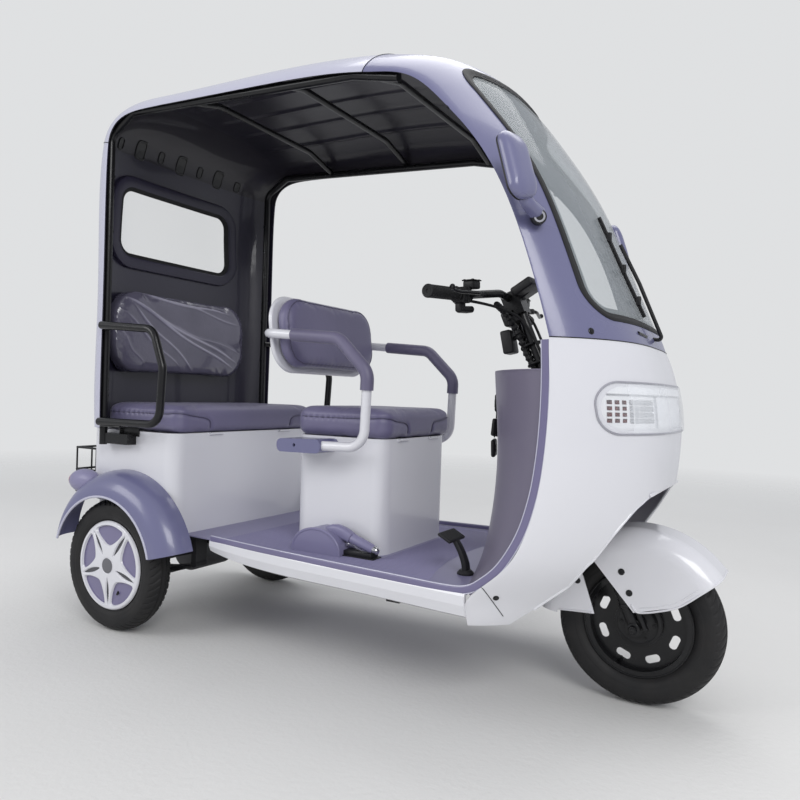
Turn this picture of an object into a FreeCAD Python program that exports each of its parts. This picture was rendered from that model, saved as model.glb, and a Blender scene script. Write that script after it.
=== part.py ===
import FreeCAD, Part
import math
import os

from FreeCAD import Vector

# Electric passenger tricycle with a roof, all sizes in millimetres.
# +X points forward, +Y to the left, +Z up. The origin lies on the ground
# under the middle of the vehicle's length. The right side is the -Y side.

os.makedirs("parts", exist_ok=True)

# Driving dimensions of the whole vehicle
overall_length = 2190.0
wheelbase = 1570.0
track_room = 22.0
steering_rake = 23.4
cab_half_width = 420.0
skin = 4.0
seat_gap = 0.3
pad_gap = 0.95

# Wheels
tyre_radius = 212.5
tyre_width = 86.0
bead_radius = 127.0
flange_radius = 139.5
rim_width = 62.0
rim_plate = 4.0
drum_radius = 62.0
drum_width = 46.0
rim_slot_count = 8
cover_radius = 143.0
cover_thickness = 7.0
cover_stand = 45.0
cover_spokes = 5
running_gap = 0.06
front_axle_radius = 6.0
stub_radius = 10.0

# Floor and the two seat boxes
floor_top = 323.5
floor_thick = 4.0
rail_width = 40.0
rail_height = 30.0
rail_spacing = 160.0
cross_height = 19.5
driver_box_front = -682.0
driver_box_length = 318.0
driver_box_half = 202.0
driver_box_top = 660.0
rear_box_front = 214.0
rear_box_length = 399.0
rear_box_inset = 60.0
rear_box_top = 645.0
box_corner = 45.0
wheel_well_radius = 258.0
wheel_well_depth = 38.0
wall = 4.0

# Cushions
driver_seat_length = 348.0
driver_seat_half = 226.0
driver_seat_thick = 84.0
rear_seat_length = 372.0
rear_seat_room = 52.0
rear_seat_thick = 86.0
cushion_round = 24.0
seat_overhang = 22.0
hinge_radius = 4.0
hinge_length = 60.0
backrest_room = 29.0
backrest_height = 232.0
backrest_thick = 52.0
backrest_low = 862.0
backrest_front = -990.0
back_shell_thick = 14.0
rear_pad_room = 33.0
rear_pad_height = 306.0
rear_pad_front = 118.0
rear_pad_low = 830.0

# Tubes
cage_tube = 12.5
grab_tube = 12.5
arm_tube = 14.0
sleeve_wall = 5.0
bar_tube = 11.0
grip_radius = 17.0
grip_length = 125.0
stem_radius = 14.0
fork_leg_radius = 15.0
fork_half_width = 66.0
arm_room = 50.0
basket_wire = 4.0

# Openings in the shells
glass_low = 986.0
glass_high = 1630.0
glass_half_low = 337.0
glass_half_high = 320.0
glass_thick = 4.0
glass_overlap = 14.0
rear_window_low = 1253.0
rear_window_high = 1500.0
rear_window_half_low = 275.0
rear_window_half_high = 262.0
lamp_low = 718.0
lamp_high = 834.0
lamp_half = 368.0
lamp_depth = 34.0
mirror_turn_in = 17.0
plate_hole_spacing = 140.0
plate_hole_radius = 3.5
plate_hole_height = 420.0

rear_box_half = cab_half_width - rear_box_inset
rear_half_track = rear_box_half + track_room
rear_seat_half = cab_half_width - rear_seat_room
rear_pad_half = rear_seat_half - rear_pad_room
backrest_half = driver_seat_half + backrest_room
wheel_well_inner = rear_box_half - wheel_well_depth
arm_half_width = driver_seat_half + arm_room
front_axle_x = overall_length / 2 - tyre_radius
rear_axle_x = front_axle_x - wheelbase
tail_x = -overall_length / 2
axle_z = tyre_radius
rake = math.radians(steering_rake)
front_hub = Vector(front_axle_x, 0, axle_z)
Y_AXIS = Vector(0, 1, 0)
Z_AXIS = Vector(0, 0, 1)
X_AXIS = Vector(1, 0, 0)


def from_front(x, z=0.0, y=0.0):
    """A point placed by its distance ahead of the front axle."""
    return Vector(front_axle_x + x, y, z)


def from_rear(x, z=0.0, y=0.0):
    """A point placed by its distance ahead of the rear axle."""
    return Vector(rear_axle_x + x, y, z)


def save(shape, node):
    """Write one node's solids to its file."""
    solids = shape.Solids
    result = solids[0] if len(solids) == 1 else Part.makeCompound(solids)
    result.exportStep("parts/" + node + ".step")
    print(node, len(solids), round(result.Volume / 1e6, 3), result.isValid())


def join(shapes):
    """Fuse touching or crossing solids into one."""
    first = shapes[0]
    return first.fuse(shapes[1:]).removeSplitter() if len(shapes) > 1 else first


def mirrored(shape):
    """The same shape on the other side of the vehicle."""
    return shape.mirror(Vector(0, 0, 0), Y_AXIS)


def both_sides(shape):
    """A shape with its mirror image as separate solids."""
    return Part.makeCompound([shape, mirrored(shape)])


def spline(points):
    """A smooth edge through the points, at even parameters."""
    curve = Part.BSplineCurve()
    count = len(points)
    parameters = [i / (count - 1) for i in range(count)]
    curve.interpolate(Points=points, Parameters=parameters)
    return curve.toShape()


def polygon(points):
    """A closed wire of straight edges."""
    return Part.makePolygon(points + [points[0]])


def prism(wire, direction):
    """A closed flat wire pushed along a vector."""
    return Part.Face(wire).extrude(direction)


def side_prism(wire):
    """A wire drawn in the XZ plane, pushed through the whole width."""
    reach = 2 * cab_half_width
    moved = wire.copy()
    moved.translate(Vector(0, -reach, 0))
    return prism(moved, Vector(0, 2 * reach, 0))


def box(x0, x1, y0, y1, z0, z1):
    """A plain block between two corners."""
    return Part.makeBox(x1 - x0, y1 - y0, z1 - z0, Vector(x0, y0, z0))


def rounded_outline(corners, radius):
    """A closed wire with every corner replaced by an arc."""
    edges = []
    starts = []
    ends = []
    count = len(corners)
    for i in range(count):
        here = corners[i]
        before = (corners[i - 1] - here).normalize()
        after = (corners[(i + 1) % count] - here).normalize()
        angle = before.getAngle(after)
        reach = radius / math.tan(angle / 2)
        middle = (before + after).normalize() * (radius / math.sin(angle / 2) - radius)
        starts.append(here + before * reach)
        ends.append(here + after * reach)
        edges.append(Part.Arc(starts[i], here + middle, ends[i]).toShape())
    lines = [Part.LineSegment(ends[i], starts[(i + 1) % count]).toShape() for i in range(count)]
    chain = []
    for arc, line in zip(edges, lines):
        chain += [arc, line]
    return Part.Wire(chain)


def bent_path(points, bend):
    """Straight runs joined by tangent arcs."""
    edges = []
    last = points[0]
    for i in range(1, len(points) - 1):
        here = points[i]
        before = (points[i - 1] - here).normalize()
        after = (points[i + 1] - here).normalize()
        angle = before.getAngle(after)
        reach = bend / math.tan(angle / 2)
        middle = (before + after).normalize() * (bend / math.sin(angle / 2) - bend)
        start = here + before * reach
        end = here + after * reach
        edges.append(Part.LineSegment(last, start).toShape())
        edges.append(Part.Arc(start, here + middle, end).toShape())
        last = end
    edges.append(Part.LineSegment(last, points[-1]).toShape())
    return Part.Wire(edges)


def bent_tube(points, radius, bend):
    """A round bar along straight runs and arcs."""
    path = bent_path(points, bend)
    start = Part.makeCircle(radius, points[0], points[1] - points[0])
    return path.makePipeShell([Part.Wire(start)], True, True)


def rod(start, end, radius):
    """A straight round bar between two points."""
    return Part.makeCylinder(radius, (end - start).Length, start, end - start)


def rounded_slab(x0, x1, half, z0, z1, corner, soft):
    """A pad with round corners in plan and softened upper and lower rims."""
    outline = rounded_outline([Vector(x0, -half, z0), Vector(x1, -half, z0),
                               Vector(x1, half, z0), Vector(x0, half, z0)], corner)
    slab = prism(outline, Vector(0, 0, z1 - z0))
    rims = [e for e in slab.Edges if abs(e.BoundBox.ZMax - e.BoundBox.ZMin) < 0.01]
    return slab.makeFillet(soft, rims)


# Outer skin: each station is a bow across the vehicle. Its crown point and
# outward direction lie in the middle plane, its ends lie inward by the depth.

SAMPLES = 17


def bow_points(station, inset):
    """Points along one bow, moved inward by the inset."""
    crown, outward, half, depth, flat, corner = station
    points = []
    for i in range(SAMPLES):
        share = math.sin(math.pi / 2 * (2 * i / (SAMPLES - 1) - 1))
        rise = max(0.0, 1 - abs(share) ** flat) ** corner
        drop = inset + (depth - inset) * (1 - rise)
        place = crown - outward * drop
        points.append(Vector(place.x, (half - inset) * share, place.z))
    return points


def bow_wire(station, near, far):
    """A closed section between two insets of the same bow."""
    outer = bow_points(station, near)
    inner = bow_points(station, far)
    inner.reverse()
    return Part.Wire([
        spline(outer),
        Part.LineSegment(outer[-1], inner[0]).toShape(),
        spline(inner),
        Part.LineSegment(inner[-1], outer[0]).toShape(),
    ])


def bow_shell(stations, near, far):
    """A skin of even thickness lofted through the stations."""
    return Part.makeLoft([bow_wire(s, near, far) for s in stations], True, False)


def station(point, angle, half, depth, flat, corner):
    """A bow whose outward direction is an angle above the forward axis."""
    a = math.radians(angle)
    return (point, Vector(math.cos(a), 0, math.sin(a)), half, depth, flat, corner)


def nose_station(z, front, edge, half, flat=2.4):
    """A level bow of the nose: its crown and its rear edge, ahead of the front axle."""
    return station(from_front(front, z), 0.0, half, front - edge, flat, 0.8)


nose_seam = 931.0
floor_front = -322.0
nose_stations = [
    nose_station(244.0, -130.0, -330.0, cab_half_width - 26),
    nose_station(290.0, -80.0, -326.0, cab_half_width - 10),
    nose_station(340.0, -30.0, -288.0, cab_half_width - 2),
    nose_station(400.0, 14.0, -222.0, cab_half_width),
    nose_station(480.0, 50.0, -177.0, cab_half_width, 2.5),
    nose_station(570.0, 66.0, -151.0, cab_half_width, 2.7),
    nose_station(660.0, 73.0, -138.0, cab_half_width, 2.9),
    nose_station(750.0, 72.0, -132.0, cab_half_width, 3.0),
    nose_station(840.0, 55.0, -131.0, cab_half_width, 3.1),
    nose_station(nose_seam, 21.0, -135.0, cab_half_width, 3.2),
]

frame_stations = [
    nose_stations[-1],
    nose_station(1061.0, -34.0, -173.0, cab_half_width, 3.2),
    nose_station(1197.0, -92.0, -221.0, cab_half_width, 3.1),
    nose_station(1340.0, -155.0, -290.0, cab_half_width, 2.8),
    station(from_front(-228.0, 1465.0), 8.0, cab_half_width, 140.0, 2.5, 0.8),
    station(from_front(-311.0, 1581.0), 25.0, cab_half_width, 140.0, 2.4, 0.8),
    station(from_front(-398.0, 1670.0), 46.0, cab_half_width, 138.0, 2.4, 0.78),
    station(from_front(-510.0, 1725.0), 68.0, cab_half_width, 134.0, 2.6, 0.74),
    station(from_front(-640.0, 1748.0), 84.0, cab_half_width, 130.0, 3.0, 0.72),
]

roof_stations = [
    frame_stations[-1],
    station(from_front(-850.0, 1762.0), 90.0, cab_half_width, 122.0, 3.2, 0.7),
    station(from_rear(350.0, 1769.0), 90.0, cab_half_width, 115.0, 3.2, 0.7),
    station(from_rear(110.0, 1771.0), 92.0, cab_half_width, 110.0, 3.2, 0.7),
    station(from_rear(-30.0, 1760.0), 109.0, cab_half_width, 114.0, 3.4, 0.68),
    station(from_rear(-134.0, 1708.0), 137.0, cab_half_width, 126.0, 3.8, 0.65),
    station(from_rear(-188.0, 1612.0), 165.0, cab_half_width, 132.0, 4.4, 0.62),
]

rear_stations = [
    roof_stations[-1],
    station(from_rear(-200.0, 1500.0), 180.0, cab_half_width, 135.0, 5.0, 0.6),
    station(from_rear(-201.0, 1250.0), 180.0, cab_half_width, 135.0, 5.0, 0.6),
    station(from_rear(-199.0, 950.0), 180.0, cab_half_width, 132.0, 5.0, 0.6),
    station(from_rear(-195.0, 652.0), 180.0, cab_half_width - 2, 128.0, 5.0, 0.6),
]


def front_view_prism(corners, radius, x_start, x_end):
    """A rounded outline given as (y, z), pushed along the length."""
    points = [Vector(x_start, y, z) for y, z in corners]
    return prism(rounded_outline(points, radius), Vector(x_end - x_start, 0, 0))


def trapezoid(low, high, half_low, half_high, grow=0.0):
    """Corners of a window outline as (y, z), with room added all round."""
    return [(-half_low - grow, low - grow), (half_low + grow, low - grow),
            (half_high + grow, high + grow), (-half_high - grow, high + grow)]


def wheel_arch():
    """The space that the front wheel and its fender need under the nose."""
    edge = [from_front(-285.0, 205.0), from_front(-200.0, 275.0), from_front(-114.0, 346.0),
            from_front(-42.0, 438.0), from_front(18.0, 530.0), from_front(56.0, 572.0),
            from_front(125.0, 590.0)]
    front = from_front(300.0, 590.0)
    low = from_front(300.0, 205.0)
    wire = Part.Wire([
        spline(edge),
        Part.LineSegment(edge[-1], front).toShape(),
        Part.LineSegment(front, low).toShape(),
        Part.LineSegment(low, edge[0]).toShape(),
    ])
    return side_prism(wire)


def lamp_outline(grow):
    """The wrap-round lamp's shape seen from the front."""
    height = lamp_high - lamp_low
    corners = trapezoid(lamp_low, lamp_high, lamp_half - 16, lamp_half, grow)
    return front_view_prism(corners, height * 0.42, front_axle_x - 120, front_axle_x + 200)


def nose_panel():
    """White nose: one skin open at the back, cut for the wheel and the lamp."""
    shell = bow_shell(nose_stations, 0.0, skin)
    seam = front_axle_x + floor_front
    shell = shell.cut(box(seam - 100, seam, -cab_half_width, cab_half_width, 200, 400))
    return shell.cut(wheel_arch()).cut(lamp_outline(-8.0))


def headlamp_lens():
    """Clear band that wraps round the nose over the lamp."""
    band = bow_shell(nose_stations, -6.0, -seat_gap)
    return band.common(lamp_outline(0.0))


def headlamp_bowl():
    """Open tray behind the lens that carries the reflectors."""
    back = skin + seat_gap + lamp_depth
    block = bow_shell(nose_stations, skin + seat_gap, back).common(lamp_outline(6.0))
    return block.cut(bow_shell(nose_stations, 0.0, back - wall).common(lamp_outline(6.0 - wall)))


def windshield_frame():
    """Lilac surround of the windshield, from the nose seam to the roof seam."""
    opening = front_view_prism(
        trapezoid(glass_low, glass_high, glass_half_low, glass_half_high), 70.0,
        front_axle_x - 420, front_axle_x + 200)
    return bow_shell(frame_stations, 0.0, skin).cut(opening)


def windshield_glass():
    """Curved pane behind the edge of its opening."""
    outline = front_view_prism(
        trapezoid(glass_low, glass_high, glass_half_low, glass_half_high, glass_overlap), 78.0,
        front_axle_x - 430, front_axle_x + 200)
    near = skin + seat_gap
    return bow_shell(frame_stations, near, near + glass_thick).common(outline)


def rear_panel():
    """Back of the cab with its two wrap-round pillars and the window cut."""
    opening = front_view_prism(
        trapezoid(rear_window_low, rear_window_high, rear_window_half_low, rear_window_half_high),
        55.0, rear_axle_x - 260, rear_axle_x - 120)
    return bow_shell(rear_stations, 0.0, skin).cut(opening)


def rear_window():
    """Flat pane with its rubber edge, seated on the inside of the panel."""
    outline = trapezoid(rear_window_low, rear_window_high,
                        rear_window_half_low, rear_window_half_high, glass_overlap)
    face = rear_axle_x - 199.0 + skin + seat_gap
    near = skin + seat_gap
    pane = bow_shell(rear_stations, near, near + glass_thick)
    return pane.common(front_view_prism(outline, 60.0, face - 10, face + 60))


# Leg shield: height, then crown and side edge ahead of the front axle
leg_stations = [
    (floor_top + seat_gap, -415.0, -307.0),
    (370.0, -408.0, -259.0),
    (430.0, -399.0, -208.0),
    (520.0, -385.0, -169.0),
    (620.0, -375.0, -148.0),
    (720.0, -374.0, -138.0),
    (800.0, -381.0, -136.0),
    (856.0, -386.0, -136.0),
]


leg_broad = 733.0


def leg_bow(z, crown, edge):
    """A narrow column at the floor that has become broad at the height leg_broad."""
    share = min(1.0, (z - leg_stations[0][0]) / (leg_broad - leg_stations[0][0]))
    half = cab_half_width - skin - seat_gap
    return station(from_front(crown, z), 180.0, half, edge - crown, 1.6 + 0.8 * share, 0.8)


def leg_shield():
    """Inner panel behind the nose with a round column and a flat cap on top."""
    bows = [leg_bow(*place) for place in leg_stations]
    inner = bow_shell(bows, 0.0, skin)
    top = leg_stations[-1]
    rear_curve = bow_points(bows[-1], 0.0)
    front_bow = nose_station(top[0], 64.0, -131.5, cab_half_width)
    front_curve = bow_points(front_bow, skin + seat_gap)
    front_curve.reverse()
    wire = Part.Wire([
        spline(rear_curve),
        Part.LineSegment(rear_curve[-1], front_curve[0]).toShape(),
        spline(front_curve),
        Part.LineSegment(front_curve[-1], rear_curve[0]).toShape(),
    ])
    cap = prism(wire, Vector(0, 0, skin))
    cap.translate(Vector(0, 0, seat_gap))
    hole_at = steering_point(height_to_axis(top[0]))
    hole = Part.makeCylinder(cap_hole_radius, 80.0, hole_at - steering_dir * 40, steering_dir)
    outside = bow_shell(nose_stations, -10.0, skin + seat_gap)
    return Part.makeCompound([inner, cap.cut(hole).cut(outside)])


cap_hole_radius = 46.0
steering_dir = Vector(-math.sin(rake), 0, math.cos(rake))


def steering_point(along):
    """A point on the steering axis, measured up from the front wheel's centre."""
    return front_hub + steering_dir * along


def height_to_axis(z):
    """How far up the steering axis a height is."""
    return (z - axle_z) / math.cos(rake)


def tilt(shape):
    """Lean a shape drawn upright on the wheel's centre into the steering axis."""
    placed = shape.copy()
    placed.rotate(Vector(0, 0, 0), Y_AXIS, -steering_rake)
    placed.translate(front_hub)
    return placed


floor_edge = [
    (floor_front - seat_gap, 404.0),
    (-507.0, 388.0),
    (-734.0, 370.0),
    (-999.0, 345.0),
    (-1225.0, 316.0),
]


def floor_half(index, inset):
    """One point of the floor's edge as (x, half width)."""
    ahead, half = floor_edge[index]
    return front_axle_x + ahead, half - inset


def floor_pan():
    """Flat tread from the leg shield back under the rear box."""
    right = []
    for i in range(len(floor_edge)):
        x, half = floor_half(i, 0.0)
        right.append(Vector(x, -half, floor_top - floor_thick))
    tail = rear_axle_x + rear_box_front - 30
    right.append(Vector(tail, -floor_edge[-1][1] + 6, floor_top - floor_thick))
    left = [Vector(p.x, -p.y, p.z) for p in reversed(right)]
    pan = prism(polygon(right + left), Vector(0, 0, floor_thick))
    return pan.cut(down_tube(down_tube_radius + seat_gap))


def side_skirts():
    """White moulding below each edge of the floor."""
    top = floor_top + 1.0
    wires = []
    for i in range(len(floor_edge)):
        x, half = floor_half(i, 0.0)
        inner = half + pad_gap
        outer = half + 14.0
        drop = 64.0 if i < len(floor_edge) - 1 else 40.0
        points = [Vector(x, -inner, top), Vector(x, -outer + 3, top),
                  Vector(x, -outer, top - 6), Vector(x, -outer - 1, top - drop * 0.45),
                  Vector(x, -outer + 6, top - drop * 0.85), Vector(x, -inner + 16, top - drop),
                  Vector(x, -inner + 16, top - drop + skin), Vector(x, -inner, top - drop * 0.8)]
        wires.append(polygon(points))
    moulding = Part.makeLoft(wires, True, False)
    return both_sides(moulding)


def box_prism(x0, x1, half, z0, z1, inset):
    """A block with round upright corners, set in from the box's outline."""
    outline = rounded_outline([
        Vector(x0 + inset, -half + inset, z0), Vector(x1 - inset, -half + inset, z0),
        Vector(x1 - inset, half - inset, z0), Vector(x0 + inset, half - inset, z0)],
        box_corner - inset)
    return prism(outline, Vector(0, 0, z1 - z0))


def open_box(x0, x1, half, z0, z1):
    """An open-topped box with a floor, of the named wall thickness."""
    return box_prism(x0, x1, half, z0, z1, 0.0).cut(box_prism(x0, x1, half, z0 + wall, z1 + wall, wall))


def driver_box():
    """Battery box under the driver's seat."""
    x1 = front_axle_x + driver_box_front
    shell = open_box(x1 - driver_box_length, x1, driver_box_half, floor_top, driver_box_top)
    return join([shell] + hinge_barrels(x1, driver_box_top, driver_box_half))


def wheel_well(radius, inner, outer):
    """The rear wheels' space on both sides, between two distances from the middle."""
    right = Part.makeCylinder(radius, outer - inner, Vector(rear_axle_x, -inner, axle_z), Vector(0, -1, 0))
    return both_sides(right)


def passenger_box():
    """Storage box under the rear seat, notched over both wheels."""
    x1 = rear_axle_x + rear_box_front
    shell = open_box(x1 - rear_box_length, x1, rear_box_half, floor_top, rear_box_top)
    shell = shell.cut(wheel_well(wheel_well_radius, wheel_well_inner, cab_half_width))
    shell = shell.cut(wheel_well(wheel_well_radius + wall + seat_gap, wheel_well_inner - wall - seat_gap,
                                 rear_box_half - wall))
    holes = [Part.makeCylinder(plate_hole_radius, 40.0,
                               Vector(x1 - rear_box_length - 20, side * plate_hole_spacing / 2,
                                      plate_hole_height), X_AXIS) for side in (-1, 1)]
    shell = shell.cut(Part.makeCompound(holes))
    return join([shell] + hinge_barrels(x1, rear_box_top, rear_box_half))


def wheel_well_liners():
    """Moulded liner over each rear wheel, inside the storage box."""
    x1 = rear_axle_x + rear_box_front
    room = box_prism(x1 - rear_box_length, x1, rear_box_half, floor_top, rear_box_top, wall + seat_gap)
    liners = wheel_well(wheel_well_radius + wall, wheel_well_inner - wall, cab_half_width)
    return liners.cut(wheel_well(wheel_well_radius, wheel_well_inner, cab_half_width)).common(room)


def lid_cushion(box_front, box_top, length, half, thick):
    """A seat pad on its board, resting on a box and reaching a little past its front."""
    x1 = box_front + seat_overhang
    z0 = box_top + seat_gap
    return rounded_slab(x1 - length, x1, half, z0, z0 + thick, box_corner, cushion_round)


def driver_cushion():
    """Driver's seat pad, hinged at the front of the battery box."""
    return lid_cushion(front_axle_x + driver_box_front, driver_box_top,
                       driver_seat_length, driver_seat_half, driver_seat_thick)


def passenger_cushion():
    """Rear seat pad, hinged at the front of the storage box."""
    return lid_cushion(rear_axle_x + rear_box_front, rear_box_top,
                       rear_seat_length, rear_seat_half, rear_seat_thick)


def hinge_barrels(box_front, box_top, half):
    """Two hinge barrels welded to the front wall, just under the lid."""
    x = box_front + hinge_radius
    z = box_top - hinge_radius
    barrels = []
    for side in (-1, 1):
        y = side * half / 2 - hinge_length / 2
        barrels.append(Part.makeCylinder(hinge_radius, hinge_length, Vector(x, y, z), Y_AXIS))
        barrels.append(box(box_front - wall / 2, x, y, y + hinge_length, z - hinge_radius, z))
    return barrels


def upright_pad(front, half, z0, z1, thick, corner, soft):
    """A backrest: a rounded rectangle seen from the front."""
    outline = rounded_outline([Vector(front, -half, z0), Vector(front, half, z0),
                               Vector(front, half, z1), Vector(front, -half, z1)], corner)
    slab = prism(outline, Vector(-thick, 0, 0))
    rims = [e for e in slab.Edges if abs(e.BoundBox.XMax - e.BoundBox.XMin) < 0.01]
    return slab.makeFillet(soft, rims)


back_lean = 8.0


def lean(shape):
    """Lean the driver's backrest back about its lower front edge."""
    placed = shape.copy()
    placed.rotate(from_front(backrest_front, backrest_low), Y_AXIS, -back_lean)
    return placed


def driver_backrest():
    """Padded backrest of the driver's seat."""
    front = front_axle_x + backrest_front
    pad = upright_pad(front, backrest_half, backrest_low, backrest_low + backrest_height,
                      backrest_thick, 85.0, 18.0)
    return lean(pad)


def driver_back_shell():
    """White moulded shell behind the driver's backrest."""
    front = front_axle_x + backrest_front - backrest_thick - seat_gap
    grow = 6.0
    shell = upright_pad(front, backrest_half + grow, backrest_low - grow,
                        backrest_low + backrest_height + grow, back_shell_thick, 90.0, 6.0)
    return lean(shell).cut(armrest_line(arm_tube + seat_gap))


def passenger_backrest():
    """Padded backrest whose back follows the inside of the rear panel."""
    front = rear_axle_x - rear_pad_front
    pad = upright_pad(front, rear_pad_half, rear_pad_low, rear_pad_low + rear_pad_height,
                      120.0, 110.0, 18.0)
    return pad.cut(bow_shell(rear_stations, -120.0, skin + pad_gap))


arm_low = 636.0
arm_bend = 55.0


def behind_backrest(up, back):
    """A point in the middle plane, placed from the leaned backrest's lower front edge."""
    a = math.radians(back_lean)
    return from_front(backrest_front - back * math.cos(a) - up * math.sin(a),
                      backrest_low - back * math.sin(a) + up * math.cos(a))


def arm_points(y):
    """The bent line of one armrest, from its bracket round to behind the backrest."""
    rear = behind_backrest(118.0, backrest_thick + 2 * seat_gap + back_shell_thick + arm_tube)
    return [from_front(-850.0, arm_low, y), from_front(-706.0, arm_low + 2, y),
            from_front(-700.0, 850.0, y), from_front(-800.0, 946.0, y),
            Vector(rear.x, y, rear.z)]


def armrest_line(radius):
    """White tube that loops up each side of the driver's seat and behind its backrest."""
    right = arm_points(-arm_half_width)
    left = arm_points(arm_half_width)
    left.reverse()
    return bent_tube(right + left, radius, arm_bend)


def armrest_sleeves():
    """Soft sleeve over the upper bend of each armrest."""
    y = -arm_half_width
    line = arm_points(y)
    points = [line[2] + (line[1] - line[2]).normalize() * 50, line[2], line[3],
              line[3] + (line[4] - line[3]).normalize() * 166]
    outer = bent_tube(points, arm_tube + sleeve_wall, arm_bend)
    return both_sides(outer.cut(bent_tube(line, arm_tube + seat_gap / 3, arm_bend)))


def armrest_brackets():
    """Moulded bracket that carries each armrest on the side of the box."""
    y0 = -arm_half_width - arm_tube - 6
    outline = rounded_outline([
        from_front(-1000.0, arm_low - 24, y0), from_front(-842.0, arm_low - 22, y0),
        from_front(-842.0, arm_low + 19, y0), from_front(-1000.0, arm_low + 15, y0)], 17.0)
    bracket = prism(outline, Vector(0, -driver_box_half - seat_gap - y0, 0))
    hole = Part.makeCylinder(5.0, 12.0, from_front(-935.0, arm_low - 2, y0 - 1), Y_AXIS)
    pocket = Part.makeCylinder(arm_tube + seat_gap / 3, 60.0, from_front(-852.0, arm_low, -arm_half_width), X_AXIS)
    return both_sides(bracket.cut(hole).cut(pocket))


hoop_y = cab_half_width - 28.0
hoop_foot = rear_box_top - 48.0


def cab_frame():
    """Black tube cage inside the roof: two side hoops, cross bows and foot brackets."""
    y = -hoop_y
    hoop_points = [from_rear(-80.0, hoop_foot, y), from_rear(-80.0, 1612.0, y),
                   from_rear(20.0, 1672.0, y), from_front(-700.0, 1629.0, y),
                   from_front(-560.0, 1598.0, y)]
    hoop = bent_tube(hoop_points, cage_tube, 40.0)
    bracket = box(rear_axle_x - 92, rear_axle_x + 40, y - 4, -rear_box_half - seat_gap,
                  hoop_foot + 4, hoop_foot + 38)
    parts = [hoop, mirrored(hoop), bracket, mirrored(bracket)]
    for place, z in ((from_front(-640.0).x, 1616.0), (from_front(-980.0).x, 1660.0),
                     (from_rear(250.0).x, 1666.0)):
        points = [Vector(place, y, z), Vector(place, y * 0.62, z + 40),
                  Vector(place, -y * 0.62, z + 40), Vector(place, -y, z)]
        parts.append(bent_tube(points, cage_tube * 0.8, 120.0))
    return join(parts)


def grab_rails():
    """Black tube loop beside each end of the rear seat, welded to the hoops."""
    y = -(cab_half_width + grab_tube + 2.0)
    hoop_at = -(hoop_y - cage_tube * 0.5)
    points = [from_rear(-50.0, 985.0, y), from_rear(190.0, 968.0, y),
              from_rear(236.0, 850.0, y), from_rear(226.0, 676.0, y),
              from_rear(-50.0, 674.0, y)]
    loop = bent_tube(points, grab_tube, 48.0)
    feet = [rod(from_rear(-44.0, z, y), from_rear(-80.0 + cage_tube, z, hoop_at), grab_tube * 0.8)
            for z in (984.6, 674.2)]
    hoop = rod(from_rear(-80.0, 500.0, -hoop_y), from_rear(-80.0, 1300.0, -hoop_y), cage_tube + seat_gap)
    return both_sides(join([loop] + feet).cut(hoop))


fender_reach = 97.0
fender_lip_y = rear_box_half + fender_reach
fender_lip_radius = 223.0
fender_inner_y = rear_box_half + seat_gap


def fender_wire(angle, crest, inset):
    """One section of the rear fender, in the plane through the axle at an angle."""
    a = math.radians(angle)
    radial = Vector(math.cos(a), 0, math.sin(a))
    hub = Vector(rear_axle_x, 0, axle_z)

    def curve(shift):
        points = []
        for i in range(9):
            turn = math.pi / 2 * i / 8
            reach = fender_lip_y - fender_inner_y - shift
            y = -(fender_inner_y + reach * math.cos(turn) ** 0.8)
            r = fender_lip_radius + (crest - fender_lip_radius - shift) * math.sin(turn) ** 0.9
            points.append(hub + radial * r + Vector(0, y, 0))
        return points
    outer = curve(0.0)
    inner = curve(inset)
    inner.reverse()
    return Part.Wire([
        spline(outer),
        Part.LineSegment(outer[-1], inner[0]).toShape(),
        spline(inner),
        Part.LineSegment(inner[-1], outer[0]).toShape(),
    ])


fender_line = [(14.0, 318.0), (40.0, 313.0), (70.0, 309.0), (98.0, 303.0),
               (125.0, 290.0), (148.0, 270.0), (163.0, 252.0)]


def rear_fender_right():
    """Round-shouldered mudguard over the right rear wheel."""
    return Part.makeLoft([fender_wire(a, r, skin) for a, r in fender_line], True, False)


def tail_lamps():
    """Rear lamp pod standing on each fender."""
    pod = Part.makeSphere(1.0)
    matrix = FreeCAD.Matrix()
    matrix.scale(70.0, 36.0, 40.0)
    pod = pod.transformGeometry(matrix)
    pod.translate(from_rear(-150.0, 470.0, -rear_box_half - 42.0))
    fender = Part.makeLoft([fender_wire(a, r + seat_gap, 50.0) for a, r in fender_line], True, False)
    side = box(rear_axle_x - 300, rear_axle_x, -rear_box_half - 0.5, -rear_box_half + 60, 300, 600)
    return both_sides(pod.cut(fender).cut(side))


def tyre(center):
    """Rubber ring with a round tread, its beads held between the rim's flanges."""
    w = tyre_width / 2
    seat = rim_width / 2 - rim_plate - seat_gap
    low = bead_radius + seat_gap
    lip = flange_radius + 1.0
    depth = tyre_radius - lip
    profile = [
        Vector(0, -seat, lip), Vector(0, -w * 0.87, lip + depth * 0.14),
        Vector(0, -w, lip + depth * 0.46), Vector(0, -w * 0.8, lip + depth * 0.84),
        Vector(0, 0, tyre_radius), Vector(0, w * 0.8, lip + depth * 0.84),
        Vector(0, w, lip + depth * 0.46), Vector(0, w * 0.87, lip + depth * 0.14),
        Vector(0, seat, lip)]
    beads = [profile[-1], Vector(0, seat, low), Vector(0, -seat, low), profile[0]]
    lines = [Part.LineSegment(a, b).toShape() for a, b in zip(beads, beads[1:])]
    ring = Part.Face(Part.Wire([spline(profile)] + lines)).revolve(Vector(0, 0, 0), Y_AXIS, 360)
    ring.translate(center)
    return ring


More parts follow.
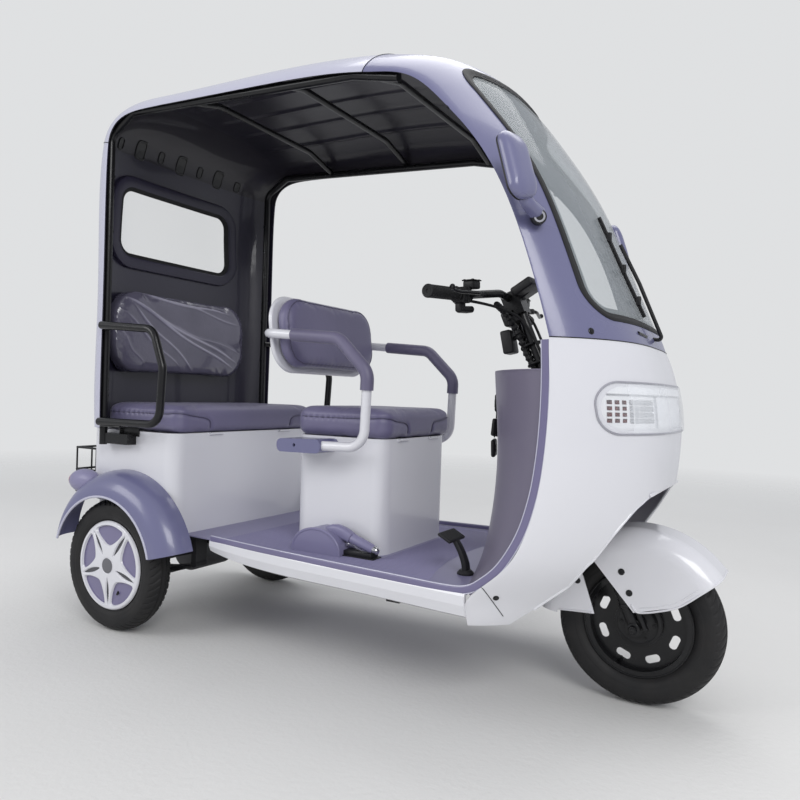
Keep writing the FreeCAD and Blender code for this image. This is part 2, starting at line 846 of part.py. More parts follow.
def rim(center, bore, side):
    """Pressed steel wheel: a channel, a slotted disc and a brake drum hub."""
    half = rim_width / 2
    channel = Part.makeCylinder(bead_radius, rim_width, Vector(0, -half, 0), Y_AXIS)
    channel = channel.cut(Part.makeCylinder(bead_radius - rim_plate, rim_width, Vector(0, -half, 0), Y_AXIS))
    pieces = [channel]
    for edge in (-half, half - rim_plate):
        ring = Part.makeCylinder(flange_radius, rim_plate, Vector(0, edge, 0), Y_AXIS)
        pieces.append(ring.cut(Part.makeCylinder(bead_radius - rim_plate, rim_plate, Vector(0, edge, 0), Y_AXIS)))
    disc = Part.makeCylinder(bead_radius - 1, rim_plate, Vector(0, -rim_plate / 2 + side * 8, 0), Y_AXIS)
    slot_center = (bead_radius + drum_radius) / 2 + 3
    slots = []
    for i in range(rim_slot_count):
        slot = rounded_outline([Vector(-19, -20, -10), Vector(19, -20, -10),
                                Vector(19, -20, 10), Vector(-19, -20, 10)], 9.0)
        cutter = prism(slot, Vector(0, 40, 0))
        cutter.translate(Vector(0, 0, slot_center))
        cutter.rotate(Vector(0, 0, 0), Y_AXIS, 360.0 * (i + 0.5) / rim_slot_count)
        slots.append(cutter)
    pieces.append(disc.cut(Part.makeCompound(slots)))
    pieces.append(Part.makeCylinder(drum_radius, drum_width, Vector(0, -drum_width / 2, 0), Y_AXIS))
    wheel = join(pieces).cut(Part.makeCylinder(bore, 200.0, Vector(0, -100, 0), Y_AXIS))
    wheel.translate(center)
    return wheel


def wheel_cover(center, side):
    """Star-shaped cover: five spokes between wide pockets."""
    y0 = side * (cover_stand - cover_thickness)
    disc = Part.makeCylinder(cover_radius, cover_thickness, Vector(0, y0, 0), Vector(0, side, 0))
    pockets = []
    for i in range(cover_spokes):
        outline = rounded_outline([
            Vector(-20, y0 - 20, 52), Vector(20, y0 - 20, 52),
            Vector(58, y0 - 20, 112), Vector(-58, y0 - 20, 112)], 13.0)
        pocket = prism(outline, Vector(0, 40, 0))
        pocket.rotate(Vector(0, 0, 0), Y_AXIS, 360.0 * i / cover_spokes)
        pockets.append(pocket)
    star = disc.cut(Part.makeCompound(pockets))
    y1 = side * (rim_width / 2 + seat_gap)
    foot = Part.makeCylinder(flange_radius - 3, abs(y0 - y1) + 1, Vector(0, y1, 0), Vector(0, side, 0))
    foot = foot.cut(Part.makeCylinder(flange_radius - 12, 60.0, Vector(0, y1 - side * 10, 0), Vector(0, side, 0)))
    cap = join([star, foot])
    cap.translate(center)
    return cap


def fork():
    """Steering stem, yoke, two legs and the front axle."""
    yoke = 322.0
    legs = []
    for side in (-1, 1):
        foot = Vector(0, side * fork_half_width, 0)
        legs.append(rod(foot - Z_AXIS * 12, foot + Z_AXIS * yoke, fork_leg_radius))
        legs.append(Part.makeCylinder(22.0, 16.0, foot + Vector(0, -8, 0), Y_AXIS))
    bridge = box(-32, 32, -fork_half_width - 20, fork_half_width + 20, yoke - 4, yoke + 20)
    stem = rod(Vector(0, 0, yoke), Vector(0, 0, bar_along - 6), stem_radius)
    crown = rod(Vector(0, 0, yoke + 20), Vector(0, 0, yoke + 34), 27.0)
    axle = rod(Vector(0, -fork_half_width - 30, 0), Vector(0, fork_half_width + 30, 0), front_axle_radius)
    clamp = box(-34, 18, -30, 30, bar_along - 32, bar_along + 38)
    whole = tilt(join(legs + [bridge, stem, crown, axle, clamp]))
    return whole.cut(bar_solid(bar_tube + running_gap))


bar_rise = 206.0
cap_height = leg_stations[-1][0]
bar_along = height_to_axis(cap_height + bar_rise)


def bar_point(ahead, y, z):
    """A point of the handlebar, placed from the top of the steering stem."""
    top = steering_point(bar_along)
    return Vector(top.x + ahead, y, top.z + z)


def bar_line(side):
    """Centre line of one half of the handlebar."""
    return [bar_point(-20.0, 0, 14.0), bar_point(-22.0, side * 92, 20.0),
            bar_point(-72.0, side * 205, 2.0), bar_point(-100.0, side * 372, -8.0)]


def bar_solid(radius):
    """The whole handlebar as one bent bar."""
    points = list(reversed(bar_line(-1))) + bar_line(1)[1:]
    return bent_tube(points, radius, 45.0)


def handlebar():
    """Bent bar with both ends swept back."""
    return bar_solid(bar_tube)


def grips():
    """Rubber grip on each end of the bar."""
    solids = []
    for side in (-1, 1):
        line = bar_line(side)
        along = (line[3] - line[2]).normalize()
        start = line[3] - along * (grip_length - 4)
        sleeve = rod(start, start + along * grip_length, grip_radius)
        solids.append(sleeve.cut(rod(start - along, line[3] + along * 0.5, bar_tube + seat_gap / 3)))
    return Part.makeCompound(solids)


def hand_controls():
    """Switch block and brake lever beside each grip, and the display."""
    solids = []
    for side in (-1, 1):
        line = bar_line(side)
        along = (line[3] - line[2]).normalize()
        start = line[3] - along * (grip_length + 44)
        block = rod(start, start + along * 38, 21.0)
        perch = start + along * 6
        lever = bent_tube([perch + Vector(10, 0, 2), perch + Vector(52, side * 12, 4),
                           perch + along * 135 + Vector(48, 0, 2)], 5.0, 14.0)
        piece = join([block, lever])
        solids.append(piece.cut(bar_solid(bar_tube + seat_gap / 3)))
    display = box(-34, 34, -52, 52, 0, 26)
    display = display.makeFillet(6.0, display.Edges)
    display.rotate(Vector(0, 0, 0), Y_AXIS, -32)
    display.translate(bar_point(32.0, 0, 34.0))
    neck = rod(bar_point(6.0, 0, 24.0), bar_point(30.0, 0, 44.0), 9.0)
    clamp_room = tilt(box(-60, 18 + seat_gap, -31, 31, bar_along - 32, bar_along + 38 + seat_gap))
    solids.append(join([display, neck]).cut(clamp_room).cut(bar_solid(bar_tube + seat_gap)))
    return Part.makeCompound(solids)


fender_radius = 255.0
fender_half_width = 97.0
fender_shoulder = 55.0


def front_fender():
    """White mudguard that turns with the fork, with a gap beside each leg."""
    drum = Part.makeCylinder(fender_radius, 2 * fender_half_width, Vector(0, -fender_half_width, 0), Y_AXIS)
    rims = [e for e in drum.Edges if e.Length > fender_radius]
    drum = drum.makeFillet(fender_shoulder, [e for e in rims if isinstance(e.Curve, Part.Circle)])
    inner = Part.makeCylinder(fender_radius - 3, 2 * fender_half_width - 6, Vector(0, -fender_half_width + 3, 0), Y_AXIS)
    rims = [e for e in inner.Edges if isinstance(e.Curve, Part.Circle)]
    inner = inner.makeFillet(fender_shoulder - 3, rims)
    shell = drum.cut(inner)

    def sector(points):
        reach = 2 * fender_half_width
        wire = polygon([Vector(x, -reach, z) for x, z in points])
        return prism(wire, Vector(0, 2 * reach, 0))
    front = sector([(-128, 192), (2, 46), (110, 78), (202, 152), (320, 330), (-60, 340)])
    rear = sector([(-160, 178), (-128, 118), (-96, 26), (-228, 18), (-330, 60), (-300, 260)])
    crown = Part.makeCylinder(fender_radius + 5, 2 * fender_half_width, Vector(0, -fender_half_width, 0), Y_AXIS)
    crown = crown.cut(Part.makeCylinder(fender_radius - 60, 2 * fender_half_width, Vector(0, -fender_half_width, 0), Y_AXIS))
    arc = crown.common(sector([(0, 0), (320, 242), (0, 400), (-400, 320), (-400, 28)]))
    keep = join([front, rear, arc])
    guard = shell.common(keep)
    guard.translate(front_hub)
    legs = [tilt(rod(Vector(0, side * fork_half_width, -20), Vector(0, side * fork_half_width, 330),
                     fork_leg_radius + seat_gap)) for side in (-1, 1)]
    return guard.cut(Part.makeCompound(legs))


def control_cables():
    """Cable from each switch block along the bar and down through the cap."""
    solids = []
    for side in (-1, 1):
        line = bar_line(side)
        along = (line[3] - line[2]).normalize()
        start = line[3] - along * (grip_length + 48) - Z_AXIS * 14
        points = [start, bar_point(6.0, side * 74, -18.0), tilt_point(20.0, side * 23, bar_along - 110),
                  tilt_point(20.0, side * 20, height_to_axis(cap_height - 21.0))]
        cable = bent_tube(points, 4.0, 30.0)
        solids.append(cable.cut(bar_solid(bar_tube + seat_gap)))
    return Part.makeCompound(solids)


def tilt_point(ahead, y, along):
    """A point given beside the steering axis."""
    forward = Vector(math.cos(rake), 0, math.sin(rake))
    return steering_point(along) + forward * ahead + Vector(0, y, 0)


rail_low = floor_top - floor_thick - cross_height - rail_height
down_tube_radius = 20.0
head_radius = 24.0


def down_tube(radius):
    """The bent tube that joins the steering head to the ladder."""
    points = [steering_point(430.0) + Vector(-24, 0, 0), from_front(-318.0, 470.0),
              from_front(-352.0, 330.0), from_front(-392.0, rail_low + rail_height / 2)]
    return bent_tube(points, radius, 60.0)


def steering_head():
    """Tube that the fork's stem turns in, with the bent tube that carries it."""
    low = steering_point(372.0)
    high = steering_point(600.0)
    head = rod(low, high, head_radius)
    bore = rod(low, high, stem_radius + running_gap)
    return join([head, down_tube(down_tube_radius)]).cut(bore).cut(main_frame())


def main_frame():
    """Welded ladder under the floor."""
    z0 = rail_low
    front = front_axle_x - 380
    back = rear_axle_x - 170
    parts = []
    for side in (-1, 1):
        y = side * rail_spacing
        parts.append(box(back, front, y - rail_width / 2, y + rail_width / 2, z0, z0 + rail_height))
    z1 = z0 + rail_height
    reach_points = [(-400.0, 375.0), (-556.0, 366.0), (-820.0, 345.0), (-1090.0, 315.0)]
    for ahead, reach in reach_points:
        x = front_axle_x + ahead
        parts.append(box(x - 15, x + 15, -reach, reach, z1, z1 + cross_height - seat_gap))
    for ahead in (160.0, -20.0, -150.0):
        x = rear_axle_x + ahead
        parts.append(box(x - 15, x + 15, -wheel_well_inner + 25, wheel_well_inner - 25, z1,
                         floor_top - seat_gap))
    parts.append(box(front - 30, front, -rail_spacing, rail_spacing, z0, z0 + rail_height))
    stand = box(front_axle_x - 575, front_axle_x - 535, -350, -322, z1 - 50, z1 + 6)
    parts.append(stand)
    return join(parts)


def rear_axle():
    """Axle tube with brake plates and the stub shafts that carry the wheels."""
    inner_face = rear_half_track - drum_width / 2 - 6
    tube = rod(Vector(rear_axle_x, -inner_face, axle_z), Vector(rear_axle_x, inner_face, axle_z), 24.0)
    parts = [tube]
    for side in (-1, 1):
        start = Vector(rear_axle_x, side * (inner_face - 8), axle_z)
        parts.append(rod(start, start + Vector(0, side * 8, 0), drum_radius + 4))
        end = Vector(rear_axle_x, side * (rear_half_track + 34), axle_z)
        parts.append(rod(start, end, stub_radius))
    return join(parts).cut(motor_block(seat_gap))


def motor_block(grow=0.0):
    """Hub of the rear axle: the drive motor with its gear case."""
    radius = 82.0 + grow
    motor = Part.makeCylinder(radius, 150.0 + 2 * grow, Vector(rear_axle_x, -75 - grow, axle_z), Y_AXIS)
    return motor


def leaf_springs():
    """Leaf pack on each side, carried by the rails and clamped on the axle."""
    solids = []
    y = 250.0
    for side in (-1, 1):
        leaves = []
        for i, half in enumerate((230.0, 175.0, 120.0)):
            top = axle_z - 24 - 7 * i - seat_gap
            points = [from_rear(-half, top + half * half / 1500, 0), from_rear(-half / 2, top + half * half / 6000, 0),
                      from_rear(0, top, 0), from_rear(half / 2, top + half * half / 6000, 0),
                      from_rear(half, top + half * half / 1500, 0)]
            low = [p - Z_AXIS * 6.6 for p in reversed(points)]
            wire = Part.Wire([spline(points), Part.LineSegment(points[-1], low[0]).toShape(),
                              spline(low), Part.LineSegment(low[-1], points[0]).toShape()])
            leaf = prism(wire, Vector(0, 44, 0))
            leaf.translate(Vector(0, side * y - 22, 0))
            leaves.append(leaf)
        clamp = box(rear_axle_x - 26, rear_axle_x + 26, side * y - 30, side * y + 30,
                    axle_z - 52, axle_z - 24 - seat_gap)
        eyes = []
        for reach in (-224.0, 224.0):
            eye = from_rear(reach, axle_z - 24 + 33, side * y - 24)
            eyes.append(Part.makeCylinder(12.0, 48.0, eye, Y_AXIS))
            hanger_top = floor_top - floor_thick - seat_gap if reach > 0 else floor_top - seat_gap
            eyes.append(box(eye.x - 10, eye.x + 10, side * y - 24, side * y + 24, eye.z, hanger_top))
        solids.append(join(leaves + [clamp] + eyes))
    return Part.makeCompound(solids)


def battery_pack():
    """Battery block inside the driver's box."""
    x1 = front_axle_x + driver_box_front - wall - 20
    return box(x1 - 262, x1, -driver_box_half + 34, driver_box_half - 34,
               floor_top + wall + seat_gap, floor_top + wall + 215)


def outside_frame(shape):
    """The part of a shape that lies outside the windshield frame's skin."""
    return shape.cut(bow_shell(frame_stations, -seat_gap, 60.0))


def mirror_right():
    """Door-type mirror on a short arm from the windshield frame."""
    center = from_front(-204.0, 1294.0, -cab_half_width - 58)
    outline = rounded_outline([Vector(0, -44, -86), Vector(0, 44, -62), Vector(0, 40, 84),
                               Vector(0, -44, 88)], 30.0)
    body = prism(outline, Vector(28, 0, 0))
    rims = [e for e in body.Edges if e.BoundBox.XMin > 27.9]
    body = body.makeFillet(16.0, rims)
    body.rotate(Vector(0, 0, 0), Y_AXIS, -18)
    body.rotate(Vector(0, 0, 0), Vector(0, 0, 1), -mirror_turn_in)
    body.translate(center)
    foot = from_front(-176.0, 1204.0, -cab_half_width + 54)
    arm = bent_tube([foot, foot + Vector(0, -46, 0), center + Vector(34, 16, -60)], 9.0, 10.0)
    ball = Part.makeSphere(15.0, foot + Vector(0, -34, 0))
    return outside_frame(join([body, arm, ball]))


def wiper():
    """Wiper arm resting in front of the glass, on its spindle."""
    foot = from_front(28.0, 950.0, 0)
    arm = bent_tube([foot + Vector(-26, 0, 8), foot + Vector(6, 0, 4), from_front(-24.0, 1100.0, -30),
                     from_front(-70.0, 1200.0, -60)], 5.0, 8.0)
    return outside_frame(arm)


def brake_pedal():
    """Foot brake standing on the floor ahead of the driver's box."""
    foot = from_front(-402.0, floor_top + seat_gap, -235)
    arm = bent_tube([foot + Vector(0, 0, 8), foot + Vector(-8, 0, 50), foot + Vector(-40, 0, 96)], 9.0, 30.0)
    pad = box(-20, 20, -46, 46, 0, 9)
    pad.rotate(Vector(0, 0, 0), Y_AXIS, 28)
    pad.translate(foot + Vector(-46, 0, 92))
    base = box(foot.x - 16, foot.x + 16, foot.y - 20, foot.y + 20, floor_top + seat_gap, floor_top + 12)
    return join([arm, pad, base])


def parking_brake():
    """Parking lever beside the driver's box under a half-round cover."""
    y0 = -driver_box_half - seat_gap
    y1 = y0 - 78
    z = floor_top + seat_gap
    cover = Part.makeCylinder(72.0, y0 - y1, from_front(-868.0, z, y1), Y_AXIS)
    cover = cover.common(box(front_axle_x - 960, front_axle_x - 790, y1 - 5, y0 + 5, z, z + 100))
    lever = bent_tube([from_front(-850.0, z + 40, y0 - 36), from_front(-790.0, z + 46, y0 - 36),
                       from_front(-672.0, z + 26, y0 - 36)], 13.0, 60.0)
    block = box(front_axle_x - 800, front_axle_x - 690, y0 - 60, y0 - 6, z, z + 16)
    return join([cover, lever, block])


def rear_basket():
    """Wire basket hung on the back below the rear panel."""
    x0 = tail_x + basket_wire
    x1 = rear_axle_x + rear_box_front - rear_box_length - basket_wire - seat_gap
    half = 250.0
    z0 = 400.0
    z1 = 560.0
    wires = []
    for z in (z0, (z0 + z1) / 2, z1):
        ring = [Vector(x0, -half, z), Vector(x1, -half, z), Vector(x1, half, z), Vector(x0, half, z)]
        for i in range(4):
            wires.append(rod(ring[i], ring[(i + 1) % 4], basket_wire))
            wires.append(Part.makeSphere(basket_wire, ring[i]))
    for i in range(9):
        y = -half + 2 * half * i / 8
        wires.append(rod(Vector(x0, y, z0), Vector(x0, y, z1), basket_wire * 0.8))
        wires.append(rod(Vector(x1, y, z0), Vector(x0, y, z0), basket_wire * 0.8))
        wires.append(rod(Vector(x1, y, z0), Vector(x1, y, z1), basket_wire * 0.8))
    for side in (-1, 1):
        middle = (x0 + x1) / 2
        wires.append(rod(Vector(middle, side * half, z0), Vector(middle, side * half, z1), basket_wire * 0.8))
    return join(wires)


save(main_frame(), "main_frame")
save(steering_head(), "steering_head")
save(rear_axle(), "rear_axle")
save(motor_block(), "drive_motor")
save(leaf_springs(), "leaf_springs")
save(battery_pack(), "battery_pack")
save(floor_pan(), "floor_pan")
save(side_skirts(), "side_skirts")
save(nose_panel(), "nose_panel")
save(headlamp_lens(), "headlamp_lens")
save(headlamp_bowl(), "headlamp_bowl")
save(leg_shield(), "leg_shield")
save(windshield_frame(), "windshield_frame")
save(windshield_glass(), "windshield_glass")
save(wiper(), "wiper")
save(both_sides(mirror_right()), "mirrors")
save(bow_shell(roof_stations, 0.0, skin), "roof_panel")
save(rear_panel(), "rear_panel")
save(rear_window(), "rear_window")
save(cab_frame(), "cab_frame")
save(driver_box(), "driver_box")
save(armrest_line(arm_tube), "armrest_tubes")
save(armrest_brackets(), "armrest_brackets")
save(armrest_sleeves(), "armrest_sleeves")
save(driver_backrest(), "driver_backrest")
save(driver_back_shell(), "driver_back_shell")
save(passenger_box(), "passenger_box")
save(wheel_well_liners(), "wheel_well_liners")
save(passenger_backrest(), "passenger_backrest")
save(grab_rails(), "grab_rails")
fender = rear_fender_right()
save(fender, "rear_fender_right")
save(mirrored(fender), "rear_fender_left")
save(tail_lamps(), "tail_lamps")
save(rear_basket(), "rear_basket")
save(parking_brake(), "parking_brake")
save(brake_pedal(), "brake_pedal")
save(driver_cushion(), "driver_cushion")
save(passenger_cushion(), "passenger_cushion")
save(fork(), "fork")
save(front_fender(), "front_fender")
save(handlebar(), "handlebar")
save(grips(), "grips")
save(hand_controls(), "hand_controls")
save(control_cables(), "control_cables")
save(tyre(front_hub), "front_tyre")
save(rim(front_hub, front_axle_radius + running_gap, -1), "front_rim")
for name, side in (("right", -1), ("left", 1)):
    hub = Vector(rear_axle_x, side * rear_half_track, axle_z)
    save(tyre(hub), "rear_tyre_" + name)
    save(rim(hub, stub_radius + running_gap, side), "rear_rim_" + name)
    save(wheel_cover(hub, side), "wheel_cover_" + name)
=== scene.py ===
# %% [markdown]
# # A roofed electric tricycle, dressed for its portrait
# The solids of this vehicle come from the workshop model: they have the right sizes and the joints.
# This lesson adds what a buyer sees and touches: paint, moulded plastic, leather, rubber tread,
# seams, bolts and cables. Each step first says what the real piece is, and then makes it.

# %% Load the frame
import math

import bmesh
import bpy
import numpy as np
from mathutils import Matrix, Vector
from mathutils.bvhtree import BVHTree


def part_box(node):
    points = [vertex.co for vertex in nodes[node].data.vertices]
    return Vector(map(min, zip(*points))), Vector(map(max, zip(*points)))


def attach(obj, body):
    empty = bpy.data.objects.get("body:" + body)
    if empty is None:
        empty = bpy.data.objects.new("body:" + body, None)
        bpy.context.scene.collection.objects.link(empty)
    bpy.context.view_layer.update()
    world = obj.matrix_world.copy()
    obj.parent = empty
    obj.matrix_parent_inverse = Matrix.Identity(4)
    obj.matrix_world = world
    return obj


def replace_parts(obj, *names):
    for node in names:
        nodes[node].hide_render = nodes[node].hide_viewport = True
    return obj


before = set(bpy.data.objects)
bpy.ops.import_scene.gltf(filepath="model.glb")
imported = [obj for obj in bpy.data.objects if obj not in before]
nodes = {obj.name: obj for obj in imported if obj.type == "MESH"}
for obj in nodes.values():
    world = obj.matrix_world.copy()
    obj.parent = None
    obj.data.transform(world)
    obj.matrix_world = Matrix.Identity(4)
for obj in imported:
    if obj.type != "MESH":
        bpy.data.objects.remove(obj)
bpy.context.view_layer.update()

# %% [markdown]
# ## Where the picture is taken from
# The photographer stood by the front right wheel, at the height of the handlebar, and held the
# camera a little tilted. A camera object gets its place and three axes from those angles. The lens
# follows from how large the vehicle stands in a square picture.

# %% Camera
camera_place, film_width, lens_length = (1.2598, -1.9781, 0.7935), 36.0, 32.49
view_turn, view_pitch, view_roll = math.radians(29.703), math.radians(-0.496), math.radians(1.789)
ahead = Vector((-math.sin(view_turn) * math.cos(view_pitch),
                math.cos(view_turn) * math.cos(view_pitch), math.sin(view_pitch)))
level = Vector((math.cos(view_turn), math.sin(view_turn), 0))
upright = level.cross(ahead)
right = level * math.cos(view_roll) + upright * math.sin(view_roll)
above = upright * math.cos(view_roll) - level * math.sin(view_roll)
camera = bpy.data.objects.new("camera", bpy.data.cameras.new("camera"))
camera.matrix_world = Matrix((right, above, -ahead)).transposed().to_4x4()
camera.location = camera_place
camera.data.sensor_width = film_width
camera.data.lens = lens_length
bpy.context.scene.collection.objects.link(camera)
bpy.context.scene.camera = camera
print("camera looks along", [round(c, 3) for c in ahead])

# %% [markdown]
# ## The studio
# A pale floor and a pale world show the vehicle without a story around it. The world gives most of
# the light, as an overcast sky does, and three large soft lamps draw long, quiet reflections on the
# glossy panels. The floor is an ordinary plane with a touch of unevenness. With distance it turns
# clear, so that it passes into the backdrop without a line.

# %% Floor, world and lamps
def look_at(thing, target):
    thing.rotation_euler = (Vector(target) - thing.location).to_track_quat("-Z", "Y").to_euler()


def soft_lamp(name, place, target, size, power):
    data = bpy.data.lights.new(name, "AREA")
    data.shape, data.size, data.size_y, data.energy = "RECTANGLE", size[0], size[1], power
    lamp = bpy.data.objects.new(name, data)
    lamp.location = place
    look_at(lamp, target)
    bpy.context.scene.collection.objects.link(lamp)


floor_fade_from, floor_fade_to = 2.2, 7.5
sky_color, sky_strength, backdrop_color = (0.93, 0.95, 1.0, 1), 0.62, (0.74, 0.75, 0.76, 1)
scene = bpy.context.scene
scene.view_settings.view_transform = "Standard"
world = bpy.data.worlds.new("studio")
scene.world = world
world.use_nodes = True
sky = world.node_tree.nodes["Background"]
rays = world.node_tree.nodes.new("ShaderNodeLightPath")
out = world.node_tree.nodes["World Output"]
sky.inputs["Color"].default_value = sky_color
sky.inputs["Strength"].default_value = sky_strength
backdrop = world.node_tree.nodes.new("ShaderNodeBackground")
backdrop.inputs["Color"].default_value = backdrop_color
backdrop.inputs["Strength"].default_value = 1.0
chooser = world.node_tree.nodes.new("ShaderNodeMixShader")
world.node_tree.links.new(rays.outputs["Is Camera Ray"], chooser.inputs[0])
world.node_tree.links.new(sky.outputs[0], chooser.inputs[1])
world.node_tree.links.new(backdrop.outputs[0], chooser.inputs[2])
world.node_tree.links.new(chooser.outputs[0], out.inputs["Surface"])
soft_lamp("key", (3.6, -3.2, 3.4), (0.2, 0, 0.7), (2.6, 2.0), 112)
soft_lamp("side", (-2.6, -3.6, 2.6), (-0.4, 0, 0.6), (2.4, 1.8), 56)
soft_lamp("top", (0.2, 1.2, 4.4), (0, 0, 0.8), (3.0, 3.0), 64)

# %% [markdown]
# ## How a finish is mixed
# Every finish below starts from one shader. Two soft noises keep it from looking like flat colour:
# a broad one shifts the colour a little, and a fine one makes the tiny height differences of
# moulded plastic, paint or rubber. What is the same all over is set on the shader itself.

# %% A helper for finishes
def finish(name, color, other=None, rough=0.4, rough_spread=0.08, mottle=3.0, grain=400.0, depth=0.0004,
           metal=0.0, coat=0.0, sheen=0.0, specular=0.5):
    """A material whose colour drifts between two near shades, with fine grain as bump."""
    made = bpy.data.materials.new(name)
    made.use_nodes = True
    tree = made.node_tree
    shader = tree.nodes["Principled BSDF"]
    place = tree.nodes.new("ShaderNodeTexCoord")
    broad, fine = tree.nodes.new("ShaderNodeTexNoise"), tree.nodes.new("ShaderNodeTexNoise")
    broad.inputs["Scale"].default_value, broad.inputs["Detail"].default_value = mottle, 4.0
    fine.inputs["Scale"].default_value, fine.inputs["Detail"].default_value = grain, 2.0
    shades = tree.nodes.new("ShaderNodeValToRGB")
    other = other or tuple(0.9 * c for c in color)
    shades.color_ramp.elements[0].position, shades.color_ramp.elements[0].color = 0.3, (*other, 1)
    shades.color_ramp.elements[1].position, shades.color_ramp.elements[1].color = 0.7, (*color, 1)
    spread = tree.nodes.new("ShaderNodeMapRange")
    spread.inputs["To Min"].default_value = max(0.0, rough - rough_spread / 2)
    spread.inputs["To Max"].default_value = rough + rough_spread / 2
    bump = tree.nodes.new("ShaderNodeBump")
    bump.inputs["Distance"].default_value, bump.inputs["Strength"].default_value = depth, 0.6
    for source in (broad, fine):
        tree.links.new(place.outputs["Object"], source.inputs["Vector"])
    tree.links.new(broad.outputs["Fac"], shades.inputs["Fac"])
    tree.links.new(shades.outputs["Color"], shader.inputs["Base Color"])
    tree.links.new(broad.outputs["Fac"], spread.inputs["Value"])
    tree.links.new(spread.outputs["Result"], shader.inputs["Roughness"])
    tree.links.new(fine.outputs["Fac"], bump.inputs["Height"])
    tree.links.new(bump.outputs["Normal"], shader.inputs["Normal"])
    shader.inputs["Metallic"].default_value = metal
    shader.inputs["Coat Weight"].default_value = coat
    shader.inputs["Coat Roughness"].default_value = 0.06
    shader.inputs["Sheen Weight"].default_value = sheen
    shader.inputs["Specular IOR Level"].default_value = specular
    return made


def paint(material, slot, *names):
    """Give CAD nodes their finish."""
    for name in names:
        nodes[name].data.materials.clear()
        nodes[name].data.materials.append(material)


ground = finish("pale_floor", (0.74, 0.735, 0.72), (0.70, 0.695, 0.68), rough=0.75, mottle=0.7, grain=60,
                depth=0.002)
bare, plain, fade, floor_mix = (ground.node_tree.nodes.new("ShaderNode" + kind)
                                for kind in ("BsdfTransparent", "VectorMath", "MapRange", "MixShader"))
plain.operation = "LENGTH"
fade.inputs["From Min"].default_value, fade.inputs["From Max"].default_value = floor_fade_from, floor_fade_to
ground.node_tree.links.new(ground.node_tree.nodes["Texture Coordinate"].outputs["Object"], plain.inputs[0])
ground.node_tree.links.new(plain.outputs["Value"], fade.inputs["Value"])
ground.node_tree.links.new(fade.outputs["Result"], floor_mix.inputs[0])
ground.node_tree.links.new(ground.node_tree.nodes["Principled BSDF"].outputs[0], floor_mix.inputs[1])
ground.node_tree.links.new(bare.outputs[0], floor_mix.inputs[2])
ground.node_tree.links.new(floor_mix.outputs[0],
                           ground.node_tree.nodes["Material Output"].inputs["Surface"])
bpy.ops.mesh.primitive_plane_add(size=60)
floor = bpy.context.object
floor.name = "studio_floor"
floor.data.materials.append(ground)
print("floor finish:", ground.name)

# %% [markdown]
# ## Body colours
# The white panels and the lilac ones are injection-moulded plastic with a glossy skin: light drifts
# over them in broad bands, and only a very slight waviness breaks it. The lilac leans to blue where
# the sky meets it. The floor and the leg shield are of the same plastic, but less polished.

# %% White and lilac plastics
white_gloss = finish("white_gloss", (0.71, 0.71, 0.74), (0.67, 0.67, 0.71), rough=0.22, mottle=1.3,
                     grain=30, depth=0.0003, coat=0.35)
lilac_gloss = finish("lilac_gloss", (0.155, 0.156, 0.275), (0.138, 0.139, 0.250), rough=0.28, mottle=1.6,
                     grain=260, depth=0.0002, coat=0.3)
lilac_satin = finish("lilac_satin", (0.225, 0.212, 0.345), (0.20, 0.188, 0.312), rough=0.42, mottle=2.0,
                     grain=500, depth=0.0003, coat=0.1)
shield_satin = finish("shield_satin", (0.175, 0.157, 0.218), (0.153, 0.138, 0.196), rough=0.4, mottle=2.2,
                      grain=600, depth=0.0003, coat=0.1)
paint(white_gloss, "body_white", "nose_panel", "wheel_well_liners", "side_skirts", "driver_box",
      "driver_back_shell", "passenger_box", "front_fender")
paint(lilac_gloss, "panel_lilac", "armrest_brackets", "parking_brake")
paint(shield_satin, "panel_lilac", "leg_shield")
paint(lilac_gloss, "fender_lilac", "rear_fender_right", "rear_fender_left")
paint(lilac_satin, "lamp_red", "tail_lamps")
paint(lilac_satin, "floor_lilac", "floor_pan")
paint(white_gloss, "tube_white", "armrest_tubes")
paint(white_gloss, "cover_white", "wheel_cover_right", "wheel_cover_left")
print("plastics:", [m.name for m in bpy.data.materials if "gloss" in m.name or "satin" in m.name])

# %% [markdown]
# ## Blacks and greys
# Tubes, frame and wheels are black enamel over steel, which shows sharp small highlights. Trim and
# switch housings are black plastic with a fine grain. The motor is a raw casting. The armrests'
# sleeves are artificial leather; the pads get a finish of their own when they are blown up.

# %% Enamel, trim, casting, rubber
black_enamel = finish("black_enamel", (0.006, 0.006, 0.007), (0.010, 0.010, 0.011), rough=0.28, mottle=9,
                      grain=180, depth=0.0002, coat=0.12, specular=0.3)
black_plain = finish("black_plain", (0.012, 0.012, 0.014), (0.018, 0.018, 0.020), specular=0.3, rough=0.5,
                     mottle=6, grain=900, depth=0.0004)
black_trim = finish("black_trim", (0.011, 0.011, 0.012), (0.017, 0.017, 0.019), specular=0.3, rough=0.42,
                    mottle=12, grain=1400, depth=0.0003)
raw_casting = finish("raw_casting", (0.11, 0.11, 0.115), (0.075, 0.075, 0.08), rough=0.55, mottle=14,
                     grain=500, depth=0.0012, metal=0.8)
battery_case = finish("battery_case", (0.10, 0.11, 0.115), (0.08, 0.085, 0.09), rough=0.5, mottle=5,
                      grain=700, depth=0.0004)
soft_rubber = finish("soft_rubber", (0.011, 0.011, 0.012), (0.016, 0.016, 0.017), specular=0.3, rough=0.62,
                     mottle=20, grain=1500, depth=0.0003)
paint(black_enamel, "frame_black", "main_frame", "cab_frame", "grab_rails", "rear_basket", "fork",
      "handlebar", "brake_pedal")
paint(black_plain, "axle_black", "rear_axle", "leaf_springs")
paint(raw_casting, "motor_grey", "drive_motor")
paint(battery_case, "battery_grey", "battery_pack")
paint(black_trim, "trim_black", "wiper", "mirrors", "hand_controls")
paint(soft_rubber, "grip_rubber", "grips")
paint(soft_rubber, "cable_black", "control_cables")
